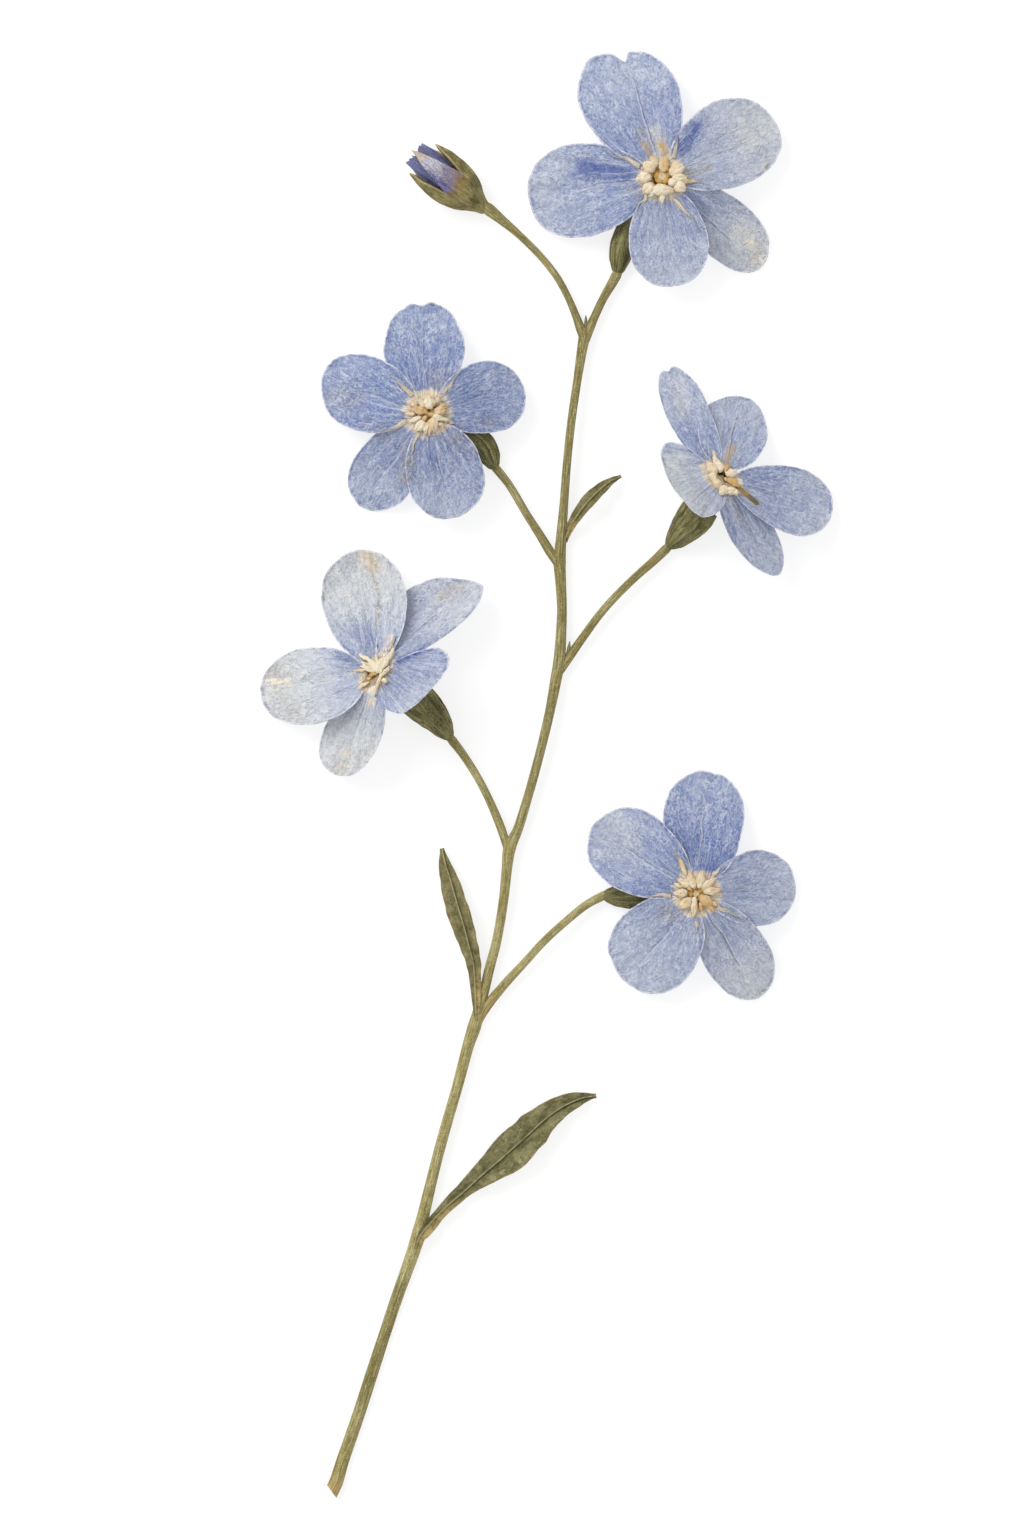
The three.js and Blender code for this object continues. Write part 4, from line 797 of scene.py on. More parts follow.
# A mark is [x0, y0, x1, y1, half width, strength]: a line of deeper blue, of faded, stained, cream or golden
# skin. A sliver is [outer x, y, inner x, y]. A scale is [x, y, half length, half width, turn, half height,
# warmth], from the bloom's centre, as hole, the middle of the throat, is too.
BLOOMS = [
    {**FACE_UP, "centre": [5.56, 28.66], "via": [3.88, 26.1], "foot": [3.44, 24.16],
     "hole": [0.02, 0.08], "style": 1.4, "petals": [
        [102.5, 6.44, 4.82, 0.264, 0.19, 0.566, 0.0, -1.5, 0.56, 0.7, 0.1, 0.8,
         {"notch": 0.5, "notch_span": 0.09, "shoulder": 0.32}],
        [22, 6.15, 4.25, 0.15, 0.14, 0.15, 0.22, -1.1, 0.24, 0.2, 0.45, 0.45],
        [-43, 6.45, 2.95, 0.22, 0.2, 0.18, -0.1, -1.7, 0.3, 0.2, 0.52, 0.8],
        [-83, 5.3, 3.85, 0.12, -0.04, 0.0, 0.25, -0.45, 0.32, 0.35, 0.15, 0.3],
        [186, 6.55, 4.5, 0.2, 0.08, 0.0, -0.05, -1.5, 0.64, 0.38, 0.25, 0.4],
    ], "marks": {
        "deep": [
            [1.9, 29.2, 3.7, 28.8, 0.5, 1.2], [6.5, 30.1, 7.2, 31.1, 0.45, 1.05], [7.2, 31.1, 7.9, 31.9, 0.3, 0.4],
            [6.3, 32.7, 6.15, 31.2, 0.3, 0.5], [3.3, 30.8, 3.9, 29.6, 0.45, 0.55],
            [4.0, 27.5, 4.4, 26.9, 0.35, 0.6], [6.85, 27.9, 7.6, 27.0, 0.4, 0.6],
        ],
        "fade": [
            [10.9, 31.5, 9.9, 30.9, 1.2, 0.75], [10.4, 25.0, 9.5, 26.0, 0.8, 0.9], [5.2, 30.9, 5.6, 29.9, 0.3, 1.0],
        ],
        "stain": [
            [4.45, 31.0, 4.75, 30.2, 0.16, 0.9], [6.83, 28.85, 7.79, 29.2, 0.2, 0.85],
            [10.4, 24.3, 10.2, 24.6, 0.4, 0.4], [10.45, 29.0, 10.65, 29.35, 0.07, 0.9],
            [4.0, 28.2, 4.5, 27.9, 0.3, 0.4], [10.9, 31.6, 10.7, 31.8, 0.1, 0.6],
        ],
        "cream": [
            [10.3, 24.4, 9.9, 25.3, 0.55, 0.5],
        ],
        "gold": [
            [5.5, 30.3, 5.7, 29.9, 0.14, 0.9], [4.75, 30.3, 4.95, 29.8, 0.1, 0.6],
        ],
    }, "slivers": [
        [6.3, 30.9, 6.1, 29.6], [2.6, 30.1, 4.5, 29.2], [7.9, 28.3, 6.6, 28.6], [7.5, 26.0, 6.1, 27.7],
        [4.3, 27.0, 4.9, 28.0],
    ], "scales": [
        [0.03, -0.59, 0.6, 0.29, 0, 0.3, 0.1], [-0.66, -0.51, 0.34, 0.3, 215, 0.27, 0.1],
        [-0.87, 0.02, 0.36, 0.3, 180, 0.27, 0.05], [-0.62, 0.53, 0.36, 0.33, 138, 0.26, 0.2],
        [-0.37, 0.78, 0.3, 0.16, 118, 0.16, 0.4], [0.08, 0.65, 0.42, 0.28, 85, 0.12, 0.75],
        [0.71, 0.39, 0.4, 0.32, 30, 0.24, 0.2], [0.85, 0.01, 0.36, 0.22, 2, 0.24, 0],
        [0.87, -0.46, 0.32, 0.3, -32, 0.3, 0.1], [0.53, -0.23, 0.26, 0.2, -25, 0.26, 0],
        [0, -0.98, 0.24, 0.13, 270, 0.1, -0.6], [-0.45, -0.76, 0.26, 0.14, 225, 0.16, 0],
        [1.16, -0.17, 0.24, 0.12, -10, 0.12, 0.8],
    ]},
    {**FACE_UP, "centre": [-5.69, 17.38], "via": [-3.08, 15.97], "foot": [-2.45, 14.8],
     "hole": [0.03, -0.08], "petals": [
        [93.2, 5.45, 3.9, 0.1, 0.0, 0.0, -0.1, -1.65, 0.85, 0.7, 0.1, 0.45, {"notch": 0.14}],
        [13, 4.85, 3.5, 0.16, 0.06, 0.0, 0.2, -1.1, 0.92, 0.4, 0.1, 0.45],
        [-77, 5.25, 3.78, 0.1, 0.1, 0.0, 0.2, -0.6, 0.62, 0.6, 0.15, 0.4],
        [232.5, 5.5, 3.15, 0.2, 0.0, 0.05, -0.1, -1.7, 0.72, 0.4, 0.2, 0.5],
        [162, 5.4, 3.7, 0.16, 0.04, -0.15, 0.2, -1.4, 0.92, 0.4, 0.05, 0.45],
    ], "marks": {
        "stain": [
            [-5.34, 19.14, -5.1, 18.8, 0.35, 0.6], [-3.03, 16.82, -2.7, 16.9, 0.3, 0.6],
            [-4.2, 16.1, -3.4, 15.9, 0.4, 0.75], [-6.55, 15.25, -6.75, 14.3, 0.28, 0.85],
            [-10.1, 18.3, -9.4, 18.1, 0.55, 0.5], [-7.9, 16.6, -8.6, 16.9, 0.3, 0.4],
        ],
        "deep": [
            [-5.2, 15.8, -4.9, 14.6, 0.7, 0.5], [-3.9, 17.6, -2.4, 18.0, 0.8, 0.4],
        ],
    }, "slivers": [
        [-7.5, 19.4, -6.4, 18.2], [-4.0, 19.5, -5.0, 18.3], [-4.0, 16.7, -4.8, 17.1], [-6.6, 15.0, -6.1, 16.5],
        [-8.2, 16.4, -6.7, 17.0],
    ], "scales": [
        [0.06, 0.51, 0.36, 0.27, 95, 0.22, 0], [0.33, 0.49, 0.19, 0.12, 65, 0.2, 0.6],
        [-0.44, 0.13, 0.34, 0.23, 165, 0.22, 0.75], [-0.24, 0.44, 0.26, 0.17, 130, 0.2, 0.3],
        [0.63, 0.11, 0.34, 0.22, 18, 0.22, 0.75], [0.51, -0.22, 0.31, 0.2, -20, 0.22, 0.1],
        [0.29, -0.55, 0.36, 0.26, -75, 0.24, 0.3], [-0.35, -0.62, 0.34, 0.26, 230, 0.22, 0],
        [-0.57, -0.3, 0.31, 0.14, 200, 0.16, -0.2], [-0.06, -0.74, 0.34, 0.14, 258, 0.16, 0.1],
        [0.74, 0.36, 0.22, 0.12, 40, 0.12, 0.9], [0.2, -0.06, 0.2, 0.12, 20, 0.2, 1.1],
        [-0.12, 0.1, 0.2, 0.13, 140, 0.2, 1], [-0.14, -0.28, 0.2, 0.12, 240, 0.2, 0.8],
        [-0.68, 0.42, 0.22, 0.12, 150, 0.12, 0.4], [0.5, 0.62, 0.24, 0.1, 50, 0.12, 0.5],
        [0.78, -0.3, 0.26, 0.1, -15, 0.12, 0.2], [0.72, -0.58, 0.2, 0.1, -35, 0.1, 0.6],
        [-0.8, -0.05, 0.24, 0.1, 175, 0.12, 0.5], [0.1, -0.84, 0.24, 0.09, 268, 0.1, 0.4],
    ]},
    {**HALF_TURNED, "centre": [8.4, 14.25], "via": [7.06, 12.28], "foot": [5.83, 10.95],
     "hole": [0.2, -0.18], "petals": [
        [117, 6.0, 2.1, 0.14, 0.0, -0.12, 0.0, -0.6, 0.5, 0.4, 0.2, 0.3, {"notch": 0.16}],
        [73.5, 4.15, 3.38, 0.02, 0.03, 0.12, -0.2, -0.5, 0.42, 0.2, 0.2, 0.8],
        [-14.8, 5.59, 3.1, 0.3, 0.0, -0.3, 0.0, -1.0, 0.45, 0.45, 0.2, 0.5],
        [-61.8, 5.38, 2.15, -0.04, 0.0, 0.25, 0.1, -2.4, 0.45, 0.3, 0.2, 0.35],
        [220, 2.2, 4.25, 0.0, -0.47, 0.18, 0.25, 0.5, 0.15, 0.1, 0.6, 0, {"root": 0.0, "crease": 0.04}],
    ], "marks": {
        "deep": [
            [6.9, 16.4, 7.6, 15.2, 0.45, 0.6], [9.2, 14.4, 10.3, 14.1, 0.4, 0.6],
        ],
        "stain": [
            [9.2, 13.8, 10.1, 13.05, 0.13, 1.6], [8.85, 13.3, 9.4, 12.2, 0.14, 0.8],
            [9.0, 15.3, 9.2, 15.9, 0.2, 0.4], [7.2, 13.3, 7.4, 13.1, 0.25, 0.4],
        ],
        "gold": [
            [9.0, 13.95, 9.6, 13.5, 0.1, 0.6], [8.6, 15.0, 8.9, 15.7, 0.14, 0.6],
        ],
        "fade": [
            [6.1, 14.9, 6.4, 14.3, 0.5, 0.7], [6.4, 18.8, 6.5, 17.6, 0.4, 0.5],
        ],
    }, "slivers": [], "scales": [
        [-0.47, 0.45, 0.36, 0.28, 128, 0.24, 0.3], [-0.3, 0.88, 0.5, 0.13, 104, 0.16, 0.2],
        [-0.14, 0.57, 0.36, 0.22, 110, 0.22, 0.1], [0.23, 0.51, 0.3, 0.12, 75, 0.16, 1],
        [0.48, 0.23, 0.34, 0.22, 15, 0.18, 0], [-0.42, 0.08, 0.3, 0.2, 100, 0.26, 0.35],
        [-0.23, -0.25, 0.32, 0.2, 125, 0.28, 0.3], [0.08, -0.55, 0.32, 0.2, 150, 0.28, 0.2],
        [0, -0.7, 0.17, 0.15, 240, 0.2, -0.6], [0.4, -0.62, 0.3, 0.2, 160, 0.26, 0.15],
        [0.66, -0.72, 0.15, 0.14, -60, 0.22, -0.8], [0.57, -0.23, 0.36, 0.17, -35, 0.14, 1],
    ]},
    {**HALF_TURNED, "centre": [-8.15, 4.92], "via": [-5.98, 3.48], "foot": [-4.54, 1.73],
     "hole": [-0.2, -0.28], "petals": [
        [99.2, 6.0, 4.12, 0.18, 0.0, 0.0, -0.1, -0.5, 0.32, 0.1, 0.8, 0.3],
        [50, 6.3, 2.95, 0.2, 0.26, -1.1, 0.0, -2.2, 0.25, 0.3, 0.45, 0.35, {"notch": -0.2, "notch_span": 0.3}],
        [-55, 2.4, 4.15, 0.0, 0.62, 0.18, 0.25, 0.5, 0.3, 0.42, 0.2, 0, {"root": 0.0, "crease": 0.04}],
        [251.5, 5.3, 2.75, 0.15, -0.1, 0.0, -0.1, -1.9, 0, 0.1, 0.8, 0.3, {"skew": -0.25}],
        [188.7, 5.7, 3.76, 0.08, 0.05, 0.12, 0.1, -0.4, 0.04, 0.15, 0.75, 0.2],
    ], "marks": {
        "deep": [
            [-8.9, 6.9, -8.4, 6.3, 0.5, 0.9], [-9.8, 5.75, -9.0, 5.4, 0.45, 0.8], [-8.0, 3.7, -7.6, 3.0, 0.25, 0.5],
            [-6.2, 8.4, -4.9, 9.2, 0.5, 0.5], [-7.0, 5.5, -5.1, 6.35, 0.2, 1.0],
        ],
        "stain": [
            [-8.4, 9.9, -8.05, 8.9, 0.1, 0.85], [-8.08, 9.0, -8.0, 7.2, 0.06, 1.0],
            [-8.8, 4.25, -8.5, 4.4, 0.12, 1.3], [-5.4, 10.7, -4.6, 10.4, 0.14, 0.8],
            [-8.5, 10.4, -8.2, 10.1, 0.28, 0.6], [-12.9, 3.9, -12.0, 2.9, 0.35, 0.35],
            [-13.2, 5.0, -12.4, 4.9, 0.3, 0.35], [-8.1, 8.2, -8.15, 7.0, 0.06, 0.7],
            [-13.0, 5.2, -12.8, 4.2, 0.3, 0.5],
        ],
        "gold": [
            [-8.6, 10.6, -8.35, 10.1, 0.3, 0.3], [-8.7, 4.35, -8.25, 4.75, 0.15, 1.0],
            [-5.1, 8.6, -4.2, 9.0, 0.25, 0.2],
        ],
        "cream": [
            [-8.3, 5.1, -9.3, 5.0, 0.35, 0.5], [-8.2, 5.3, -8.4, 6.3, 0.3, 0.45], [-8.0, 5.4, -7.5, 6.6, 0.3, 0.55],
            [-8.2, 4.3, -8.5, 3.4, 0.3, 0.55], [-13.4, 4.7, -12.6, 4.4, 0.5, 0.48],
            [-9.9, 0.1, -9.5, 1.0, 0.5, 0.48], [-8.9, 10.9, -8.5, 10.1, 0.45, 0.42],
        ],
    }, "slivers": [
        [-7.25, 7.0, -7.5, 6.0], [-8.9, 5.65, -8.3, 5.3],
    ], "scales": [
        [0.27, 0.42, 0.5, 0.22, 62, 0.13, 0], [0.61, 0.71, 0.62, 0.12, 62, 0.08, -0.1],
        [-0.11, 0.36, 0.46, 0.22, 128, 0.14, 0], [-0.51, 0.71, 0.46, 0.11, 150, 0.1, -0.4],
        [0.51, 0.11, 0.26, 0.12, 50, 0.14, 0.1], [0.45, -0.38, 0.17, 0.12, 0, 0.12, -0.6],
        [0.17, -0.34, 0.4, 0.1, 245, 0.11, 0.2], [0.06, -0.65, 0.5, 0.07, 250, 0.06, 0.2],
        [-0.45, 0.25, 0.4, 0.12, 165, 0.08, 0.1], [-0.62, -0.62, 0.4, 0.07, 210, 0.05, -0.6],
        [0.37, -0.03, 0.2, 0.09, 60, 0.12, 0.5], [-0.3, 0.1, 0.42, 0.07, 172, 0.08, 0.1],
        [0.05, 0.6, 0.44, 0.07, 100, 0.08, 0], [-0.5, 0.45, 0.4, 0.06, 158, 0.08, 0.3],
        [-0.15, -0.1, 0.3, 0.08, 200, 0.1, 0.9], [0.3, 0.25, 0.34, 0.07, 75, 0.12, -0.2],
        [-0.75, 0.12, 0.36, 0.06, 184, 0.07, 0.2],
    ]},
    {**FACE_UP, "centre": [7.27, -5.67], "via": [4.6, -5.8], "foot": [2.79, -5.77],
     "hole": [-0.06, 0], "petals": [
        [85, 5.95, 3.95, 0.12, 0.0, 0.0, -0.1, -1.65, 0.88, 0.8, 0.15, 0.6, {"notch": 0.12, "notch_at": -0.15}],
        [3.6, 4.8, 3.65, 0.15, 0.05, 0.0, 0.05, -1.4, 0.42, 0.3, 0.2, 0.45],
        [-60.3, 5.87, 3.2, 0.14, 0.08, 0.1, 0.15, -1.85, 0.25, 0.3, 0.42, 0.75],
        [230.5, 5.55, 4.35, 0.12, 0.03, 0.0, -0.1, -1.0, 0.4, 0.3, 0.2, 0.5],
        [148, 6.0, 3.9, 0.24, -0.04, -0.05, 0.22, -0.8, 0.74, 0.35, 0.2, 0.6],
    ], "marks": {
        "deep": [
            [6.4, -2.6, 7.2, -3.8, 0.8, 0.7], [5.4, -5.1, 6.2, -5.4, 0.35, 0.7], [9.2, -4.9, 10.2, -5.4, 0.5, 0.3],
        ],
        "stain": [
            [5.7, -6.5, 6.1, -6.8, 0.3, 0.8], [10.3, -10.7, 10.45, -10.4, 0.2, 0.6],
        ],
        "fade": [
            [9.9, -9.9, 10.3, -10.6, 0.9, 0.6], [3.0, -2.4, 3.4, -3.0, 1.1, 0.5],
        ],
    }, "slivers": [
        [6.2, -3.5, 6.52, -4.4], [8.6, -4.3, 8.0, -4.8], [9.6, -7.0, 8.2, -6.3], [7.3, -7.6, 7.2, -7.0],
        [4.6, -5.85, 6.0, -5.75],
    ], "scales": [
        [-0.31, 0.67, 0.46, 0.2, 112, 0.19, 0.28], [0.14, 0.7, 0.46, 0.21, 82, 0.19, 0.23],
        [-0.64, 0.53, 0.34, 0.21, 150, 0.17, 0.28], [-0.82, 0.03, 0.34, 0.22, 182, 0.2, 0.18],
        [-0.87, 0.05, 0.1, 0.08, 0, 0.23, -0.82], [0.47, 0.47, 0.4, 0.21, 40, 0.17, 0.28],
        [0.68, 0.15, 0.42, 0.2, 5, 0.17, 0.38], [0.44, -0.38, 0.42, 0.28, -42, 0.19, 0.93],
        [-0.18, -0.64, 0.5, 0.15, 268, 0.14, 0.23], [-0.6, -0.47, 0.38, 0.25, 222, 0.19, 0.43],
        [-0.71, 1.3, 0.5, 0.11, 108, 0.1, 0.38], [0.44, -0.21, 0.24, 0.13, -20, 0.12, 1.18],
        [-0.42, 0.3, 0.24, 0.1, 130, 0.14, 0.9], [0.3, 0.28, 0.22, 0.1, 50, 0.14, 0.9],
        [0.62, -0.68, 0.26, 0.12, -50, 0.1, 0.8], [0.8, -0.5, 0.2, 0.08, -30, 0.08, 0.5],
        [0.15, -0.6, 0.24, 0.1, -80, 0.12, 0.7], [-0.95, 0.42, 0.22, 0.09, 155, 0.08, 0.1],
    ]},
]
THROAT_PROFILE = [[0.02, -0.5], [0.3, -0.5], [0.36, -0.3], [0.4, 0.0], [0.43, 0.22], [0.5, 0.3], [0.68, 0.29],
                  [0.84, 0.2], [0.9, 0.08], [0.84, -0.12], [0.62, -0.3], [0.4, -0.62], [0.02, -0.62]]
STYLE_PROFILE = [[0.004, -0.48], [0.07, -0.48], [0.07, 0.06], [0.13, 0.12], [0.17, 0.2], [0.165, 0.27],
                 [0.12, 0.31], [0.06, 0.315], [0.03, 0.29], [0.004, 0.28]]


def ready_bloom(bloom, number):
    bloom = dict(bloom)
    centre, via = np.array(bloom["centre"]), np.array(bloom["via"])
    bloom["facing"] = unit(centre - via)
    plan = Course([[*bloom["foot"], 0.0], [*via, 0.0], [*centre, 0.0]])
    points = plan.by_length(np.array([share for share, _ in bloom["rises"]]))
    points[:, 2] = [height for _, height in bloom["rises"]]
    course = Course(points)
    heading = plan.heading(1.0)[0]

    def axis(share):
        share = np.clip(np.atleast_1d(share), 0, 1)
        tangent = course.heading(share)
        side = unit(np.cross(UP, tangent * [1, 1, 0] + 0.02 * heading))
        return course.by_length(share), tangent, side, np.cross(tangent, side)

    bloom["axis"] = axis
    petals = []
    for i, row in enumerate(bloom["petals"]):
        petals.append({**PLAIN_PETAL, **dict(zip(PETAL_COLUMNS, row)), "phase": 2.4 * i + number,
                       "layer": LAYER * (i - 2), "seed": 10 * number + i})
        for more in row[len(PETAL_COLUMNS):]:
            petals[-1].update(more)
    bloom["petals"] = petals
    return bloom


def ready_blooms():
    for number, bloom in enumerate(BLOOMS):
        yield ready_bloom(bloom, number), number + 1


def offsets(bloom, x, y):
    """How far points lie from the bloom's centre, the way that it faces and across that, seen from above."""
    dx, dy = x - bloom["centre"][0], y - bloom["centre"][1]
    fx, fy = bloom["facing"]
    return dx * fx + dy * fy, dy * fx - dx * fy


def plane_height(bloom, x, y):
    return bloom["height"] - math.tan(bloom["tilt"]) * offsets(bloom, x, y)[0]


def petal_surface(bloom, petal, p, q):
    """The petal's middle surface over the unit disc, with where each point is on the petal."""
    rho, angle = np.hypot(p, q), np.arctan2(q, p)
    root, reach, sweep = petal["root"], petal["reach"], petal["sweep"]
    nick = 0.05 * rough(2 + 2.2 * np.cos(angle), 2 + 2.2 * np.sin(angle), petal["seed"] + 9, 3) - 0.035
    nick = nick * smooth(np.cos(angle), -0.7, -0.2)
    cleft = petal["notch"] * bell(angle - petal["notch_at"], petal["notch_span"])
    cleft = cleft - petal["shoulder"] * bell(angle - SHOULDER_AT, SHOULDER_SPAN)
    rim_across = petal["width"] / 2 * np.sin(angle) * (1 + petal["egg"] * np.cos(angle))
    rim_across = rim_across * (1 + petal["lean"] * np.sign(np.sin(angle)))
    rim_along = root + (reach - root) / 2 * (1 + np.cos(angle)) - cleft + petal["skew"] * rim_across
    rim_across = rim_across * (1 + nick / 2) + sweep * (rim_along / reach) ** 2
    rim_along = rim_along + nick * np.cos(angle)
    heart = root + HEART * (reach - root)
    along = lerp(heart, rim_along, rho)
    across = lerp(sweep * (heart / reach) ** 2, rim_across, rho)
    aim = math.radians(petal["aim"])
    x = bloom["centre"][0] + along * math.cos(aim) - across * math.sin(aim)
    y = bloom["centre"][1] + along * math.sin(aim) + across * math.cos(aim)
    out = np.clip((along - bloom["limb"]) / (reach - bloom["limb"]), 0, 1)
    off_rib = across - sweep * (along / reach) ** 2
    leave = smooth(out, 0, 0.35)
    z = plane_height(bloom, x, y) + petal["layer"] + petal["rise"] * out + PETAL_BOW * np.sin(math.pi * out)
    z = z + leave * petal["level"]
    z = z - petal["crease"] * leave * bell(off_rib / (petal["width"] / 2), 0.2) * (1 - out * out)
    z = z + PETAL_WAVE * out * rho ** 3 * np.sin(PETAL_WAVES * angle + petal["phase"])
    fan, away = np.arctan2(off_rib, along + FAN_FROM), np.hypot(off_rib, along + FAN_FROM)
    return x, y, np.maximum(z, SOLID_BLADE / 2), rho, angle, out, off_rib, fan, away


def along_marks(bloom, kind, x, y):
    """How strongly a bloom's marks of one kind show at each point."""
    total = np.zeros_like(x)
    for x0, y0, x1, y1, width, strength in bloom["marks"].get(kind, []):
        length = max((x1 - x0) ** 2 + (y1 - y0) ** 2, 1e-9)
        t = np.clip(((x - x0) * (x1 - x0) + (y - y0) * (y1 - y0)) / length, 0, 1)
        gap = np.hypot(x - x0 - t * (x1 - x0), y - y0 - t * (y1 - y0))
        total = np.maximum(total, strength * bell(gap, width * 1.25))
    return total


def petal_marks(count, marks=(0, 0, 0), edge=(0, 0, 0), flow=(0, 0, 0), **single):
    """The marks that petal skin reads, of which tone, rib and gold are single values."""
    found = {"marks": columns(count, *marks), "edge": columns(count, *edge), "flow": columns(count, *flow)}
    for key in ("tone", "rib", "gold"):
        found[key] = columns(count, single.get(key, 0.0))[:, 0]
    return found


def petal_part(bloom, petal, squares, thickness, relief):
    steps = np.linspace(-1, 1, squares + 1)
    u, v = np.meshgrid(steps, steps)
    x, y, z, rho, angle, out, off_rib, fan, away = petal_surface(
        bloom, petal, u * np.sqrt(1 - v * v / 2), v * np.sqrt(1 - u * u / 2))
    seed, fade = petal["seed"], petal["fade"]
    settle = smooth(out, 0, 0.5)
    z = z + lerp(0.14, -(SOLID_BLADE - thickness) / 2 + 0.02, settle)
    warp_x, warp_y = (place + 0.35 * noise(x * 1.1, y * 1.1, seed + k) for place, k in ((x, 1), (y, 2)))
    form = 0.9 * rough(x * 0.55, y * 0.55, seed + 5, 3) + 0.75 * crests(warp_x * 1.5, warp_y * 1.5, seed + 3, 4)
    form = form + 0.45 * noise(fan * 14, away * 0.6, seed + 4)
    form = form + 0.5 * crests(warp_x * 3.4, warp_y * 3.4, seed + 6, 3)
    z = z + relief * form * smooth(rho, 1.02, 0.9) * settle
    rib = petal["rib"] * smooth(out, 0.0, 0.08) * smooth(out, 0.62 + 0.4 * petal["rib"], 0.4)
    rib_gap = off_rib - 0.1 * noise(away * 0.8, away * 0 + 0.5, seed + 7)
    z = z - rib * (RIB_GROOVE * bell(rib_gap, 0.06) - RIB_GROOVE * bell(rib_gap - 0.12, 0.07))
    z = z + RIM_SWELL * bell(rho - 1.0, 0.05) * settle
    z = z + RIM_WAVE * smooth(rho, 0.82, 1.0) * noise(angle * 7, angle * 0 + seed, seed + 8) * settle
    deep, faded, stained, cream, gold = (
        along_marks(bloom, kind, x, y) for kind in ("deep", "fade", "stain", "cream", "gold"))
    deep = np.maximum(deep, petal["blue"] * smooth(out, 1.0, 0.1) * 0.9)
    faded = np.maximum(faded, fade * smooth(out, 0.3 - 0.45 * fade, 1.0 - 0.45 * fade))
    ahead, beside = offsets(bloom, x, y)
    from_eye = np.hypot(ahead / (bloom["squeeze"] * math.cos(bloom["tilt"])), beside)
    cream = np.maximum(0.8 * smooth(from_eye, EYE_END, EYE_EDGE), cream)
    return sheet_part(x, y, z, thickness, petal_marks(
        x.size, (deep, faded, stained), (rho, rib_gap, cream), (fan, away, seed), tone=petal["tone"], rib=rib,
        gold=gold))


def on_bloom(bloom, points):
    """Turns points made round the Z axis so that they face as the bloom does."""
    fx, fy = bloom["facing"]
    normal = np.array([fx * math.sin(bloom["tilt"]), fy * math.sin(bloom["tilt"]), math.cos(bloom["tilt"])])
    across = np.array([-fy, fx, 0.0])
    centre = np.array([*bloom["centre"], bloom["height"]])
    return (centre + points[:, :1] * bloom["squeeze"] * np.cross(across, normal) + points[:, 1:2] * across
            + points[:, 2:3] * normal)


def throat_part(bloom):
    """The fused middle of the corolla: a low collar round the throat and the tube's floor."""
    points, faces = turned_profile(THROAT_PROFILE, 60)
    radius, turn = np.hypot(points[:, 0], points[:, 1]), np.arctan2(points[:, 1], points[:, 0])
    points = on_bloom(bloom, points)
    gold, stained = (along_marks(bloom, kind, points[:, 0], points[:, 1]) for kind in ("gold", "stain"))
    return points, [tuple(face[::-1]) for face in faces], petal_marks(
        len(points), (0, 0.8, stained), (0.5, OFF_RIB, 0.95), (turn, radius, 0),
        gold=np.maximum(smooth(radius, 0.62, 0.42), gold))


def tube_part(bloom):
    shares = np.linspace(bloom["tube_from"], 0.97, 14)
    centres, _, sides, ups = bloom["axis"](shares)
    radii = np.interp(shares, *zip(*bloom["tube_radii"]))[:, None, None]
    angles = around_circle(28)[None, :, None]
    points, faces = turned_loft(
        centres[:, None] + radii * (np.cos(angles) * sides[:, None] + np.sin(angles) * ups[:, None]))
    return points, faces, petal_marks(len(points), (0, 0.5, 0), (0, OFF_RIB, 0.6))


def sliver_part(bloom, sliver, tops, seed, steps=26, sides=14):
    """A folded, rolled strip of petal margin that lies between two petals and points at the eye."""
    outer, inner = np.array(sliver[:2]), np.array(sliver[2:])
    heading = unit(inner - outer)
    normal = np.array([-heading[1], heading[0]])
    shares, angles = np.linspace(0, 1, steps), around_circle(sides)
    middle = outer + shares[:, None] * (inner - outer)
    middle = middle + (0.1 * np.sin(shares * math.pi) * noise(shares * 3, shares * 0 + seed, seed))[:, None] * normal
    widths = 0.015 + 0.095 * smooth(shares, 0.1, 0.9) + 0.02 * noise(shares * 9, shares * 0, seed + 1)
    heights = []
    for spot in middle:
        near = np.hypot(tops[:, 0] - spot[0], tops[:, 1] - spot[1]) < SLIVER_REACH
        heights.append(tops[near, 2].max() if near.any() else np.nan)
    heights = np.array(heights)
    known = ~np.isnan(heights)
    heights = np.interp(shares, shares[known], heights[known]) if known.any() else np.full(steps, bloom["height"])
    heights = np.convolve(np.pad(heights, 2, mode="edge"), np.ones(5) / 5, mode="valid") + SLIVER_LIFT
    rings = []
    for k, spot in enumerate(middle):
        ring = np.empty((sides, 3))
        ring[:, :2] = spot + (widths[k] * np.cos(angles))[:, None] * normal
        ring[:, 2] = heights[k] + 0.7 * widths[k] * (0.75 + 0.25 * math.sin(9 * shares[k] + seed)) * np.sin(angles)
        rings.append(ring)
    points, faces = turned_loft(rings)
    along = np.concatenate([np.repeat(shares, sides), [0.0, 1.0]])
    around = np.concatenate([np.tile(angles, steps), [0.0, 0.0]])
    blush = 0.5 + 0.5 * noise(along * 7, along * 0 + seed, seed + 5)
    return points, faces, petal_marks(
        len(points), (0, 0.8, 0.6 * blush ** 4), (0.5, OFF_RIB, 0.35 + 0.5 * smooth(along, 0.2, 0.9)),
        (around * 0.12, along * 2, seed))


